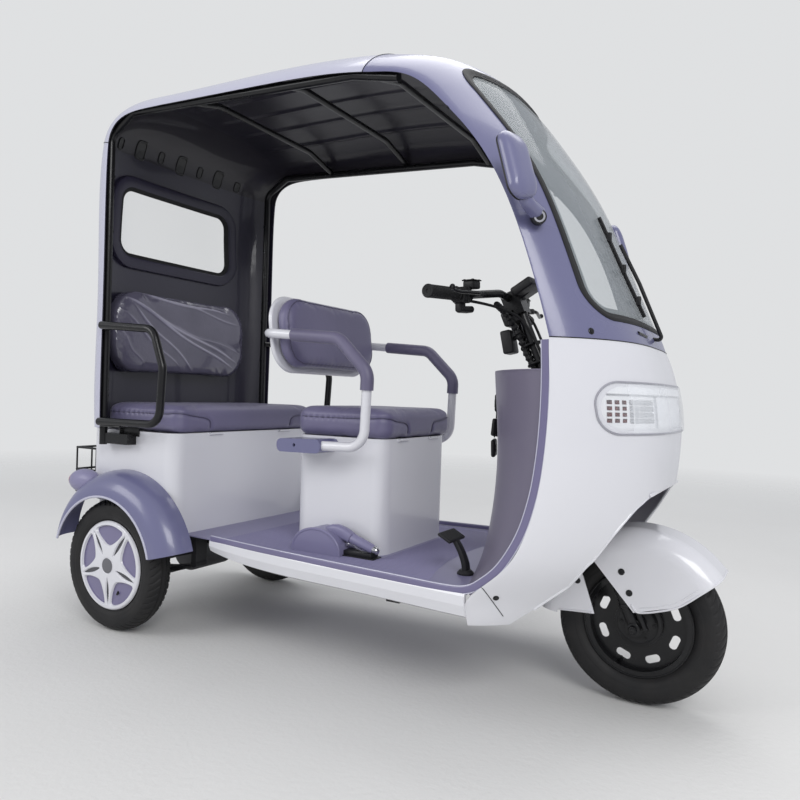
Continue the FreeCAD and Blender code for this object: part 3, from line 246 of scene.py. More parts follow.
paint(black_enamel, "rim_black", "front_rim", "rear_rim_right", "rear_rim_left")
tyre_rubber = finish("tyre_rubber", (0.013, 0.013, 0.014), (0.019, 0.018, 0.018), rough=0.6, specular=0.3,
                     rough_spread=0.16, mottle=14, grain=500, depth=0.0005)
paint(tyre_rubber, "tyre_black", "front_tyre", "rear_tyre_right", "rear_tyre_left")
sleeve_leather = finish("leather", (0.135, 0.122, 0.2), (0.11, 0.1, 0.17), rough=0.45, mottle=7,
                        grain=330, depth=0.0009, sheen=0.15)
paint(sleeve_leather, "seat_purple", "driver_cushion", "passenger_cushion", "driver_backrest",
      "passenger_backrest")
paint(sleeve_leather, "sleeve_purple", "armrest_sleeves")
print("materials so far:", len(bpy.data.materials))

# %% [markdown]
# ## Glass
# The windshield and the rear window are clear sheets with a faint cool tint. A glass shader that
# lets most light straight through keeps the cab bright, as thin panes do.

# %% Clear panes
def clear_pane(name, tint, rough, solid, grazing):
    made = bpy.data.materials.new(name)
    made.use_nodes = True
    tree = made.node_tree
    shader = tree.nodes["Principled BSDF"]
    shader.inputs["Base Color"].default_value = (*tint, 1)
    shader.inputs["Roughness"].default_value = rough
    shader.inputs["Transmission Weight"].default_value = 0.0
    shader.inputs["IOR"].default_value = 1.45
    edge = tree.nodes.new("ShaderNodeFresnel")
    edge.inputs["IOR"].default_value = 1.3
    share = tree.nodes.new("ShaderNodeMapRange")
    share.inputs["To Min"].default_value, share.inputs["To Max"].default_value = solid, grazing
    tree.links.new(edge.outputs["Fac"], share.inputs["Value"])
    tree.links.new(share.outputs["Result"], shader.inputs["Alpha"])
    made.surface_render_method = "BLENDED"
    return made


window_glass = clear_pane("window_glass", (0.42, 0.46, 0.48), 0.03, 0.07, 0.55)
lamp_glass = clear_pane("lamp_glass", (0.9, 0.92, 0.95), 0.04, 0.05, 0.4)
paint(window_glass, "window_glass", "windshield_glass", "rear_window")
paint(lamp_glass, "lamp_clear", "headlamp_lens")
print("panes:", window_glass.name, lamp_glass.name)

# %% [markdown]
# ## How a piece is built
# Most details are made from points and faces worked out in the vehicle's own coordinates, so that
# they land where the solids are. One helper makes the mesh, shades its soft edges smooth, keeps its
# hard edges sharp, and hangs it on the body it moves with.

# %% A helper for pieces
def add_piece(name, points, faces, material, slot, body, sharp=35.0, smooth=True):
    mesh = bpy.data.meshes.new(name)
    mesh.from_pydata([tuple(p) for p in points], [], faces)
    work = bmesh.new()
    work.from_mesh(mesh)
    bmesh.ops.recalc_face_normals(work, faces=work.faces)
    work.to_mesh(mesh)
    work.free()
    piece = bpy.data.objects.new(name, mesh)
    bpy.context.scene.collection.objects.link(piece)
    if smooth:
        mesh.shade_smooth()
        mesh.set_sharp_from_angle(angle=math.radians(sharp))
    mesh.materials.append(material)
    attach(piece, body)
    return piece


def grid_faces(rows, columns, wrap_rows=False, wrap_columns=False):
    """Faces of a sheet of points stored row after row."""
    faces = []
    for i in range(rows if wrap_rows else rows - 1):
        for j in range(columns if wrap_columns else columns - 1):
            a, b = i, (i + 1) % rows
            c, d = j, (j + 1) % columns
            faces.append((a * columns + c, b * columns + c, b * columns + d, a * columns + d))
    return faces


def end_caps(rings, sides):
    """The two faces that close a tube of points stored ring after ring."""
    return [tuple(range(sides)), tuple(range(rings * sides - 1, (rings - 1) * sides - 1, -1))]


def plate_faces(rows, columns):
    """Faces of a thin plate: a front, a back with its points in the same order, and the edge."""
    front, behind = grid_faces(rows, columns), rows * columns
    edge = (list(range(columns)) + [i * columns + columns - 1 for i in range(1, rows)]
            + [behind - 1 - j for j in range(1, columns)] + [i * columns for i in range(rows - 2, 0, -1)])
    return (front + [tuple(i + behind for i in f) for f in front]
            + [(a, b, b + behind, a + behind) for a, b in zip(edge, edge[1:] + edge[:1])])


def circle(count):
    """Even angles once round."""
    return [2 * math.pi * j / count for j in range(count)]


print("helpers ready")

# %% [markdown]
# ## Tyres
# A scooter tyre is a thick rubber ring. Its tread has a plain rib in the middle, one straight groove
# on each side of it, and curved cross grooves that run out over the shoulder to shed water. It could
# be carved with cutters, but a ring of points whose radius is lowered where a groove runs is quicker
# and keeps the round shoulder. The side has a few fine moulded rings, and no lettering.

# %% Tread and sidewall
front_x, rear_x, track, wheel_radius = 0.8825, -0.6875, 0.382, 0.2125
front_hub = (front_x, 0.0, wheel_radius)
across = np.array([(-26.7, 127.5), (-26.7, 134.0), (-26.9, 139.6), (-30.5, 143.0), (-34.6, 147.0),
                   (-37.6, 151.0), (-39.5, 155.0), (-40.9, 160.0), (-41.3, 161.5), (-41.1, 163.0),
                   (-42.2, 167.0), (-42.9, 172.0), (-43.0, 177.0), (-42.6, 182.0), (-41.9, 186.0),
                   (-41.6, 188.0), (-40.6, 190.6), (-39.6, 193.0), (-38.2, 195.6), (-36.6, 198.0),
                   (-34.8, 200.0), (-32.8, 201.8), (-30.6, 203.4), (-28.2, 204.9), (-25.6, 206.3),
                   (-23.0, 207.5), (-20.4, 208.5), (-17.8, 209.4), (-15.2, 210.2), (-13.0, 210.8),
                   (-11.6, 211.1), (-10.8, 211.25), (-9.0, 211.6), (-7.2, 211.9), (-6.4, 212.0),
                   (-3.5, 212.35), (0.0, 212.5)]) / 1000
across = np.vstack([across, (across * (-1, 1))[-2::-1]])
around, pitches = 640, 54
rib_groove, cross_groove = 0.0046, 0.0044


def tread_depth(side, turn):
    """How deep the tread is cut at a place across and around the tyre."""
    off = np.abs(side)
    rib = np.clip(1 - np.abs(off - 0.009) / 0.0022, 0, 1)
    slant = turn * pitches / (2 * math.pi) + np.clip(off - 0.011, 0, 1) * 34 + np.where(side > 0, 0.5, 0)
    near = np.abs((slant % 1) - 0.5)
    cut = np.clip(1.3 - near / 0.12, 0, 1)
    cut = cut * np.clip((off - 0.012) / 0.003, 0, 1) * np.clip((0.0405 - off) / 0.003, 0, 1)
    return rib_groove * np.clip(rib * 1.6, 0, 1) + cross_groove * np.where(rib > 0, 0, cut)


def add_tyre(name, center, body, node):
    turns = np.arange(around) * 2 * math.pi / around
    side, radius = across[:, 0][None, :], across[:, 1][None, :]
    depth = tread_depth(side, turns[:, None]) * (radius > 0.186)
    grown = radius - depth
    points = np.stack([center[0] + grown * np.cos(turns)[:, None], center[1] + np.repeat(side, around, 0),
                       center[2] + grown * np.sin(turns)[:, None]], -1).reshape(-1, 3)
    tyre = add_piece(name, points, grid_faces(around, len(across), wrap_rows=True, wrap_columns=True),
                     tyre_rubber, "tyre_black", body, sharp=50)
    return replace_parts(tyre, node)


add_tyre("tread_front", front_hub, "front_wheel", "front_tyre")
add_tyre("tread_rear_right", (rear_x, -track, wheel_radius), "rear_wheel_right", "rear_tyre_right")
add_tyre("tread_rear_left", (rear_x, track, wheel_radius), "rear_wheel_left", "rear_tyre_left")

# %% [markdown]
# ## Star wheel covers
# Each rear wheel wears a moulded cover: a white rim ring, and five white spokes that are each split
# by a dark leaf-shaped slit. Between the spokes are sunken lilac pockets, and the middle has a grey
# cap. The whole cover is one moulding, so it is made as one relief: for each point on a round sheet,
# two signed distances say how far it lies inside a pocket or a slit. The same distances choose the
# paint, so that the colour ends exactly where the wall begins.

# %% The relief
cover_face, cover_radius, cap_radius, spokes = 0.045, 0.143, 0.0245, 5
cover_steps = 420


def star_distances(r, turn):
    """Signed distances (metres, negative inside) to the nearest slit and pocket."""
    pitch = 2 * math.pi / spokes
    local = (turn + pitch / 2) % pitch - pitch / 2
    x, y = r * np.cos(local), np.abs(r * np.sin(local))
    share = np.clip((x - 0.040) / 0.087, 0, 1)
    slit = y - 0.0072 * np.sin(math.pi * share) ** 0.75
    slit = np.where((x < 0.040) | (x > 0.127), 0.01, slit)
    along = pitch - np.abs(local)
    x2, y2 = r * np.cos(along), np.abs(r * np.sin(along))
    edge1 = 0.0125 + 0.024 * np.clip((0.128 - x) / 0.078, 0, 2) ** 2 - y
    edge2 = 0.0125 + 0.024 * np.clip((0.128 - x2) / 0.078, 0, 2) ** 2 - y2
    blend = 0.004
    inner = blend * np.logaddexp(edge1 / blend, edge2 / blend)
    pocket = blend * np.logaddexp(inner / blend, (r - 0.1285) / blend)
    return slit, pocket


def add_cover(name, center, side, body, node):
    radii = np.concatenate([np.linspace(0.0, 0.024, 9), np.linspace(0.0255, 0.128, 62),
                            np.linspace(0.130, cover_radius, 8)])
    turns = np.arange(cover_steps) * 2 * math.pi / cover_steps
    r, turn = np.meshgrid(radii, turns)
    slit, pocket = star_distances(r, turn + math.pi / 2)
    wall = lambda distance, depth: depth * np.clip(0.5 - distance / 0.003, 0, 1) ** 1.2
    dome = 0.004 * (1 - (r / cover_radius) ** 2)
    height = dome - wall(pocket, 0.0095) * (0.75 + 0.25 * r / 0.128) - wall(slit, 0.007)
    cap = np.where(r < cap_radius, 0.0012 - 0.9 * r ** 2, 0)
    ring = 0.0015 * np.clip(1 - np.abs(r - 0.0255) / 0.0015, 0, 1)
    height += cap - ring
    height -= 0.006 * np.clip((r - 0.136) / 0.007, 0, 1) ** 2
    points = np.stack([center[0] + r * np.cos(turn), center[1] + side * (cover_face + height - 0.004),
                       center[2] + r * np.sin(turn)], -1)
    edge = points[:, -1:].copy()
    edge[:, :, 1] = center[1] + side * 0.0345
    points = np.concatenate([points, edge], 1)
    columns = len(radii) + 1
    cover = add_piece(name, points.reshape(-1, 3), grid_faces(cover_steps, columns, wrap_rows=True),
                      star_finish, "cover_white", body, sharp=60)
    for label, values in (("slit", slit), ("pocket", pocket), ("hub", cap_radius - r)):
        layer = cover.data.attributes.new(label, "FLOAT", "POINT")
        full = np.concatenate([values, values[:, -1:]], 1)
        layer.data.foreach_set("value", (full * 1000).astype(np.float32).ravel())
    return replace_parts(cover, node)


star_finish = white_gloss.copy()
star_finish.name = "star_finish"


def mix_by_attribute(material, layer, color, threshold):
    """Paint a new colour where a stored distance is past the threshold."""
    tree = material.node_tree
    shader = tree.nodes["Principled BSDF"]
    before = shader.inputs["Base Color"].links[0].from_socket
    value = tree.nodes.new("ShaderNodeAttribute")
    value.attribute_name = layer
    step = tree.nodes.new("ShaderNodeMapRange")
    step.inputs["From Min"].default_value, step.inputs["From Max"].default_value = threshold
    over = tree.nodes.new("ShaderNodeMix")
    over.data_type = "RGBA"
    over.inputs["B"].default_value = (*color, 1)
    tree.links.new(value.outputs["Fac"], step.inputs["Value"])
    tree.links.new(step.outputs["Result"], over.inputs["Factor"])
    tree.links.new(before, over.inputs["A"])
    tree.links.new(over.outputs["Result"], shader.inputs["Base Color"])


mix_by_attribute(star_finish, "pocket", (0.17, 0.155, 0.27), (-0.9, -1.2))
mix_by_attribute(star_finish, "slit", (0.05, 0.05, 0.06), (-0.7, -1.0))
mix_by_attribute(star_finish, "hub", (0.11, 0.11, 0.125), (0.0, 0.3))
add_cover("star_cover_right", (rear_x, -track, wheel_radius), -1, "rear_wheel_right",
          "wheel_cover_right")
add_cover("star_cover_left", (rear_x, track, wheel_radius), 1, "rear_wheel_left", "wheel_cover_left")

# %% [markdown]
# ## Panels that are pale outside and dark inside
# The cab's shells are two skins in one part: a glossy lilac outside, and a dark purple lining toward
# the riders. Two sheets could be modelled, but one test is enough: where the surface faces away
# from the middle of the cab it is outside, and where it faces the middle it is lining.

# %% Inside and outside on one shell
def two_sided(name, outside, middle, lining, lining_rough):
    """A copy of a finish whose faces toward a middle line are a darker lining."""
    made = outside.copy()
    made.name = name
    tree = made.node_tree
    shader = tree.nodes["Principled BSDF"]
    place = tree.nodes["Texture Coordinate"]
    away, facing, test = (tree.nodes.new("ShaderNode" + kind) for kind in ("VectorMath", "VectorMath",
                                                                           "Math"))
    away.operation, facing.operation, test.operation = "SUBTRACT", "DOT_PRODUCT", "LESS_THAN"
    away.inputs[1].default_value = middle
    flat = tree.nodes.new("ShaderNodeVectorMath")
    flat.operation = "MULTIPLY"
    flat.inputs[1].default_value = (1, 1, 0) if middle[2] == 0 else (1, 1, 1)
    tree.links.new(place.outputs["Object"], away.inputs[0])
    tree.links.new(away.outputs["Vector"], flat.inputs[0])
    tree.links.new(flat.outputs["Vector"], facing.inputs[0])
    tree.links.new(place.outputs["Normal"], facing.inputs[1])
    tree.links.new(facing.outputs["Value"], test.inputs[0])
    test.inputs[1].default_value = 0.0
    color, rough = tree.nodes.new("ShaderNodeMix"), tree.nodes.new("ShaderNodeMix")
    color.data_type = "RGBA"
    color.inputs["B"].default_value = (*lining, 1)
    rough.inputs[3].default_value = lining_rough
    tree.links.new(test.outputs[0], color.inputs["Factor"])
    tree.links.new(test.outputs[0], rough.inputs["Factor"])
    tree.links.new(shader.inputs["Base Color"].links[0].from_socket, color.inputs["A"])
    tree.links.new(shader.inputs["Roughness"].links[0].from_socket, rough.inputs[2])
    tree.links.new(color.outputs["Result"], shader.inputs["Base Color"])
    tree.links.new(rough.outputs[0], shader.inputs["Roughness"])
    return made


# Paler than the other lilac panels: the real lilac with a painted sky reflection on top, for the outside of
# the roof and the rear panel. The same colour draws painted highlights on the entrance beads and the fender
# lips.
lilac_with_painted_reflection = finish("lilac_with_painted_reflection", (0.50, 0.50, 0.60), (0.47, 0.47, 0.575), rough=0.24, mottle=1.6,
                    grain=200, depth=0.0002, coat=0.35)
roof_finish = two_sided("roof_finish", lilac_with_painted_reflection, (0.0, 0.0, 1.15), (0.012, 0.010, 0.017), 0.45)
pillar_finish = two_sided("pillar_finish", lilac_with_painted_reflection, (-0.45, 0.0, 0.0), (0.019, 0.017, 0.034), 0.38)
shield_frame_finish = two_sided("shield_frame_finish", lilac_gloss, (0.1, 0.0, 1.1), (0.035, 0.030, 0.055),
                                0.4)
paint(roof_finish, "roof_white", "roof_panel")
paint(pillar_finish, "panel_purple", "rear_panel")
paint(shield_frame_finish, "panel_lilac", "windshield_frame")
print("two-sided:", roof_finish.name, pillar_finish.name, shield_frame_finish.name)

# %% [markdown]
# ## Small tools for small parts
# Bolts, tubes and trims repeat all over the vehicle. Each tool below returns only points and faces,
# so that a row of twenty bolts can become one piece. A tube follows a line of points. A turned part
# is a profile swept round an axis, as on a lathe. A cast ray finds the skin of a solid, which is how
# trims get to lie exactly on curved panels.

# %% Tubes, turned parts, rays
def merged(bits):
    """Several lists of points and faces as one."""
    points, faces = [], []
    for some, made in bits:
        start = len(points)
        points += [tuple(p) for p in some]
        faces += [tuple(start + i for i in f) for f in made]
    return points, faces


def bar(line, radius, sides=12, closed=False):
    """A round bar along a line of points; the radius may change from point to point."""
    line = [Vector(p) for p in line]
    count, points, normal = len(line), [], None
    for i, here in enumerate(line):
        before = line[i - 1] if i or closed else here
        after = line[(i + 1) % count] if i < count - 1 or closed else here
        along = (after - before).normalized()
        normal = along.orthogonal() if normal is None else normal
        normal = (normal - along * normal.dot(along)).normalized()
        across = along.cross(normal)
        r = radius[i] if isinstance(radius, (list, tuple)) else radius
        points += [here + (normal * math.cos(a) + across * math.sin(a)) * r for a in circle(sides)]
    faces = grid_faces(count, sides, wrap_rows=closed, wrap_columns=True)
    return points, faces if closed else faces + end_caps(count, sides)


def turned(profile, place, axis, steps=24):
    """A profile of (radius, height) pairs turned round an axis."""
    axis = Vector(axis).normalized()
    side = axis.orthogonal().normalized()
    other = axis.cross(side)
    points = [Vector(place) + axis * h + (side * math.cos(a) + other * math.sin(a)) * r
              for r, h in profile for a in circle(steps)]
    return points, grid_faces(len(profile), steps, wrap_columns=True) + end_caps(len(profile), steps)


def bolt(place, axis, size=0.006):
    """A washer with a chamfered six-sided head on it."""
    washer = turned([(size * 1.5, -0.0005), (size * 1.5, 0.0012), (size * 1.35, 0.0018), (0.001, 0.0018)],
                    place, axis)
    head = turned([(size, 0.0015), (size, size * 0.7), (size * 0.86, size * 0.86),
                   (size * 0.3, size * 0.8)], place, axis, 6)
    return merged([washer, head])


def flowing(points, steps=10):
    """A smooth line through the points."""
    points = [Vector(p) for p in points]
    ends = [points[0] * 2 - points[1]] + points + [points[-1] * 2 - points[-2]]
    line = []
    for i in range(1, len(ends) - 2):
        a, b, c, d = ends[i - 1:i + 3]
        for s in (j / steps for j in range(steps)):
            line.append((b * 2 + (c - a) * s + (a * 2 - b * 5 + c * 4 - d) * s ** 2
                         + (b * 3 - a - c * 3 + d) * s ** 3) / 2)
    return line + [points[-1]]


def surface_of(name):
    """The skin of one solid, ready for rays."""
    mesh = nodes[name].data
    return BVHTree.FromPolygons([v.co[:] for v in mesh.vertices],
                                [tuple(p.vertices) for p in mesh.polygons])


def block(low, high, corner=0.004, turn=None, place=(0, 0, 0), steps=2):
    """A block with rounded edges, turned by a matrix and moved to a place."""
    work = bmesh.new()
    bmesh.ops.create_cube(work, size=1.0)
    low, high = Vector(low), Vector(high)
    for v in work.verts:
        v.co = Vector(((low[i] + high[i]) / 2 + v.co[i] * (high[i] - low[i]) for i in range(3)))
    bmesh.ops.bevel(work, geom=work.edges[:], offset=corner, segments=steps, profile=0.5, affect="EDGES")
    work.verts.index_update()
    points = [(turn @ v.co if turn else v.co) + Vector(place) for v in work.verts]
    faces = [tuple(v.index for v in f.verts) for f in work.faces]
    work.free()
    return points, faces


print("small tools ready")

# %% [markdown]
# ## Lines where panels meet
# The shells are screwed together along three seams: nose to windshield frame, frame to roof, and
# roof to rear panel. On the real cab each is a dark gap a few millimetres wide. A thin rubber line
# laid on the curve that both panels share shows it at any distance.

# %% Seams of the shell
def bow(place, angle, half, depth, flat, corner, lift, count=97):
    """One bow across the cab, lifted off the skin."""
    out = Vector((math.cos(math.radians(angle)), 0, math.sin(math.radians(angle))))
    line = []
    for share in np.sin(np.linspace(-math.pi / 2, math.pi / 2, count)):
        rise = max(0.0, 1 - abs(share) ** flat) ** corner
        spot = Vector(place) + out * (lift - (depth + lift) * (1 - rise))
        line.append((spot.x, (half + lift) * share, spot.z))
    return line


seams = [bow((0.9035, 0, 0.931), 0, 0.42, 0.156, 3.2, 0.8, 0.0002),
         bow((0.2425, 0, 1.748), 84, 0.42, 0.130, 3.0, 0.72, 0.0002),
         bow((-0.8755, 0, 1.612), 165, 0.42, 0.132, 4.4, 0.62, 0.0002)]
add_piece("shell_seams", *merged([bar(line, 0.0013, 8) for line in seams]), black_trim, "trim_black",
          "chassis")
print("seams:", len(seams))

# %% [markdown]
# ## The rubber round the windows
# A pane of safety glass sits in a black rubber moulding that laps over the edge of the panel, and
# behind the edge of the windshield runs a printed black border that hides the glue. Both follow the
# window's outline, a four-sided shape with round corners. For each point of the outline a ray finds
# the glass, and a small section is built there.

# %% Window outlines
def rounded_loop(corners, radius, arc=10, stride=0.04):
    """Points with outward directions round a convex shape with round corners."""
    loop, count = [], len(corners)
    corners = [Vector(c) for c in corners]
    for i in range(count):
        here = corners[i]
        before, after = (corners[i - 1] - here).normalized(), (corners[(i + 1) % count] - here).normalized()
        opening = before.angle(after)
        center = here + (before + after).normalized() * (radius / math.sin(opening / 2))
        start = here + before * (radius / math.tan(opening / 2)) - center
        end = here + after * (radius / math.tan(opening / 2)) - center
        for j in range(arc + 1):
            way = (start * (1 - j / arc) + end * (j / arc)).normalized()
            loop.append((center + way * radius, way))
    full = []
    for i, (here, way) in enumerate(loop):
        after, way2 = loop[(i + 1) % len(loop)]
        parts = max(1, int((after - here).length / stride))
        full += [(here.lerp(after, j / parts), way.lerp(way2, j / parts).normalized())
                 for j in range(parts)]
    return full


def window_section(loop, skin, start_x, direction, section):
    """A closed section carried round a window, each point lifted off the skin that a ray finds."""
    points = []
    for here, way in loop:
        for across_edge, lift in section:
            spot = here + way * across_edge
            hit, normal, _, _ = skin.ray_cast(Vector((start_x, spot[0], spot[1])),
                                              Vector((direction, 0, 0)))
            if normal.x * direction > 0:
                normal = -normal
            points.append(hit + normal * lift)
    return points, grid_faces(len(loop), len(section), wrap_rows=True, wrap_columns=True)


wind_loop = rounded_loop([(-0.337, 0.986), (0.337, 0.986), (0.320, 1.630), (-0.320, 1.630)], 0.07)
rear_loop = rounded_loop([(-0.275, 1.253), (0.275, 1.253), (0.262, 1.5), (-0.262, 1.5)], 0.055)
wind_skin, rear_skin = surface_of("windshield_glass"), surface_of("rear_window")
gasket = [(-0.011, 0.0003), (-0.010, 0.0022), (-0.004, 0.0034), (0.0, 0.0058), (0.005, 0.0068),
          (0.009, 0.0058), (0.0095, 0.0044), (0.0, 0.002)]
border = [(-0.026, -0.0046), (0.0095, -0.0046), (0.0095, -0.0054), (-0.026, -0.0054)]
add_piece("windshield_gasket", *window_section(wind_loop, wind_skin, 1.4, -1, gasket), soft_rubber,
          "trim_black", "chassis")
add_piece("windshield_border", *window_section(wind_loop, wind_skin, 1.4, -1, border), black_trim,
          "trim_black", "chassis", smooth=False)
add_piece("rear_gasket_outside", *window_section(rear_loop, rear_skin, -1.4, 1, gasket), soft_rubber,
          "trim_black", "chassis")
print("windshield outline points:", len(wind_loop), "rear window:", len(rear_loop))

# %% [markdown]
# Seen from the seats, the rear window has a broad raised frame in the lining's colour, and a black
# rubber lip next to the glass. It is the same kind of section, laid on the inner face.

# %% Rear window from inside
inner_frame = [(-0.004, 0.0004), (-0.004, 0.005), (0.000, 0.0085), (0.006, 0.0105), (0.030, 0.0105),
               (0.038, 0.008), (0.041, 0.002), (0.041, -0.0035), (0.016, -0.0035), (0.0145, 0.0004)]
inner_lip = [(-0.0125, 0.0003), (-0.0125, 0.0025), (-0.007, 0.0065), (-0.0015, 0.009), (0.001, 0.0086),
             (-0.0035, 0.005), (-0.0035, 0.0003)]


def rear_inside(section):
    """A section round the rear window, measured from the glass or from the panel beside it."""
    panel = surface_of("rear_panel")
    points = []
    for here, way in rear_loop:
        for across_edge, lift in section:
            spot = here + way * across_edge
            start, backward = Vector((-0.6, spot[0], spot[1])), Vector((-1, 0, 0))
            glass, beside = rear_skin.ray_cast(start, backward)[0], panel.ray_cast(start, backward)[0]
            x = beside.x + 0.0046 if beside else -0.879
            if across_edge < 0.0135 and glass:
                x = glass.x
            points.append(Vector((x + lift, spot[0], spot[1])))
    return points, grid_faces(len(rear_loop), len(section), wrap_rows=True, wrap_columns=True)


lining_finish = finish("lining_finish", (0.024, 0.021, 0.042), (0.019, 0.017, 0.035), rough=0.36,
                       mottle=2.0, grain=500, depth=0.0003)
add_piece("rear_window_frame", *rear_inside(inner_frame), lining_finish, "panel_purple", "chassis")
add_piece("rear_window_lip", *rear_inside(inner_lip), soft_rubber, "trim_black", "chassis")
print("rear window frame:", len(rear_loop), "points round")

# %% [markdown]
# ## Seats
# The seats are foam under purple artificial leather. Foam pushes the cover out everywhere except at
# the seams, so a real cushion has no flat face but the one it rests on. Cloth simulation does just
# that: the solid from the workshop is wrapped in an even mesh, made a little smaller, and blown up
# gently. A cap on how far each point may travel keeps the pad in its place.

# %% Blowing up a pad
leather = finish("seat_leather", (0.150, 0.137, 0.235), (0.125, 0.115, 0.205), rough=0.42, rough_spread=0.1,
                 mottle=6, grain=420, depth=0.0008, sheen=0.1)


def puff(name, node, body, shrink, cap, voxel=0.006, rests_on=None, material=leather):
    """A padded piece made from a plain pad by an inflating cloth simulation."""
    low, high = (Vector(c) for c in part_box(node))
    middle = (low + high) / 2
    pad = bpy.data.objects.new(name, nodes[node].data.copy())
    bpy.context.scene.collection.objects.link(pad)
    for v in pad.data.vertices:
        v.co = Vector((middle[i] + (v.co[i] - middle[i]) * shrink[i] for i in range(3)))
    bpy.ops.object.select_all(action="DESELECT")
    pad.select_set(True)
    bpy.context.view_layer.objects.active = pad
    wrap = pad.modifiers.new("wrap", "REMESH")
    wrap.mode, wrap.voxel_size = "VOXEL", voxel
    bpy.ops.object.modifier_apply(modifier="wrap")
    before = np.array([v.co[:] for v in pad.data.vertices])
    cloth = pad.modifiers.new("cloth", "CLOTH")
    cloth.settings.use_pressure, cloth.settings.uniform_pressure_force = True, 4.0
    cloth.settings.effector_weights.gravity = 0.0
    cloth.point_cache.frame_start, cloth.point_cache.frame_end = 1, 20
    for moment in range(1, 21):
        bpy.context.scene.frame_set(moment)
    shaped = pad.evaluated_get(bpy.context.evaluated_depsgraph_get()).data
    after = np.array([v.co[:] for v in shaped.vertices])
    pad.modifiers.clear()
    bpy.context.scene.frame_set(1)
    move = after - before
    far = np.linalg.norm(move, axis=1)[:, None]
    before = before + move * np.minimum(1.0, cap / np.maximum(far, 1e-9))
    if rests_on is not None:
        before[:, 2] = np.maximum(before[:, 2], rests_on)
    pad.data.vertices.foreach_set("co", before.astype(np.float32).ravel())
    pad.data.update()
    pad.data.shade_smooth()
    pad.data.materials.clear()
    pad.data.materials.append(material)
    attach(pad, body)
    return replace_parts(pad, node)


def made_finer(pad):
    """Divide a pad's mesh once, so that it has points enough for seams and creases."""
    smooth = pad.modifiers.new("smooth", "SUBSURF")
    smooth.levels = smooth.render_levels = 1
    bpy.ops.object.select_all(action="DESELECT")
    pad.select_set(True)
    bpy.context.view_layer.objects.active = pad
    bpy.ops.object.modifier_apply(modifier="smooth")


def stitched(pad, lines, pull=0.004, width=0.007):
    """Draw the cover in along seam lines, and lay a raised seam in each valley."""
    made_finer(pad)
    skin = BVHTree.FromPolygons([v.co[:] for v in pad.data.vertices],
                                [tuple(p.vertices) for p in pad.data.polygons])
    laid = []
    for line in lines:
        on_skin = [skin.find_nearest(Vector(p)) for p in line]
        laid.append([hit + normal * 0.0004 for hit, normal, _, _ in on_skin])
    spots = np.array([p[:] for line in laid for p in line])
    cloud = np.array([v.co[:] for v in pad.data.vertices])
    turned_in = np.array([v.normal[:] for v in pad.data.vertices])
    near = np.min(np.linalg.norm(cloud[:, None, :] - spots[None, :, :], axis=2), axis=1)
    cloud -= turned_in * (pull * np.exp(-(near / width) ** 2))[:, None]
    pad.data.vertices.foreach_set("co", cloud.astype(np.float32).ravel())
    pad.data.update()
    bits = [bar([p - skin.find_nearest(p)[1] * pull * 0.55 for p in line], 0.0016, 8) for line in laid]
    return add_piece(pad.name + "_seams", *merged(bits), leather_seam, "seat_purple", pad_bodies[pad.name])


leather_seam = finish("leather_seam", (0.085, 0.078, 0.14), (0.07, 0.064, 0.118), rough=0.5, mottle=8,
                      grain=900, depth=0.0003)
pad_bodies = {"driver_pad": "driver_seat", "passenger_pad": "passenger_seat", "driver_back_pad": "chassis",
              "passenger_back_pad": "chassis"}
print("pad tools ready")

# %% [markdown]
# The two seat cushions lie on their lids, so their undersides stay flat. Each has a seam that runs
# along the top edge of its side, turns round the front corner and drops to the front edge.

# %% Seat cushions
def cushion_seams(node, inset, fall):
    """The two side seams of a seat cushion, as lines near its skin."""
    low, high = (Vector(c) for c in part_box(node))
    lines = []
    for side in (-1, 1):
        half = high.y
        route = [(low.x + 0.03, side * half, high.z - fall), (high.x - 0.16, side * half, high.z - fall),
                 (high.x - 0.07, side * half, high.z - fall * 0.9),
                 (high.x - 0.02, side * (half - 0.028), high.z - fall * 0.9),
                 (high.x, side * (half - 0.075), high.z - fall * 1.2),
                 (high.x + 0.002, side * (half - inset + 0.012), (low.z + high.z) / 2),
                 (high.x, side * (half - inset), low.z + 0.008)]
        lines.append(flowing(route, 8))
    return lines


driver_pad = puff("driver_pad", "driver_cushion", "driver_seat", (0.975, 0.98, 0.93), 0.008,
                  rests_on=0.6606)
stitched(driver_pad, cushion_seams("driver_cushion", 0.15, 0.026))
passenger_pad = puff("passenger_pad", "passenger_cushion", "passenger_seat", (0.975, 0.985, 0.93), 0.009,
                     voxel=0.007, rests_on=0.6456)
stitched(passenger_pad, cushion_seams("passenger_cushion", 0.16, 0.024))
print("cushion faces:", len(driver_pad.data.polygons), len(passenger_pad.data.polygons))

# %% [markdown]
# The driver's backrest has one seam parallel to its outline. The passengers' backrest still wears
# the clear film it was delivered in: long creases run down across it, and the film gathers in short
# wrinkles at its round ends. The film is stretched tight on the leather, so the creases are raised
# on the pad itself, and the raised creases get a paler colour: a painted highlight where the glossy
# plastic catches the light.

# %% Backrests
def loop_on_front(front, half, low, high, corner, lean=0.0):
    """A closed line parallel to a backrest's outline, on its front."""
    line = []
    for here, way in rounded_loop([(-half, low), (half, low), (half, high), (-half, high)], corner,
                                  stride=0.02):
        line.append(Vector((front - lean * (here[1] - 0.862), here[0], here[1])))
    return line + line[:1]


driver_back_pad = puff("driver_back_pad", "driver_backrest", "chassis", (0.86, 0.985, 0.975), 0.007)
stitched(driver_back_pad, [loop_on_front(-0.106, 0.240, 0.872, 1.080, 0.074, lean=0.14)], pull=0.002)

film_leather = finish("film_leather", (0.115, 0.108, 0.155), (0.09, 0.085, 0.125), rough=0.2,
                      rough_spread=0.14, mottle=9, grain=60, depth=0.0012, coat=0.6)
passenger_back_pad = puff("passenger_back_pad", "passenger_backrest", "chassis", (0.9, 0.985, 0.975), 0.009,
                          voxel=0.007, material=film_leather)


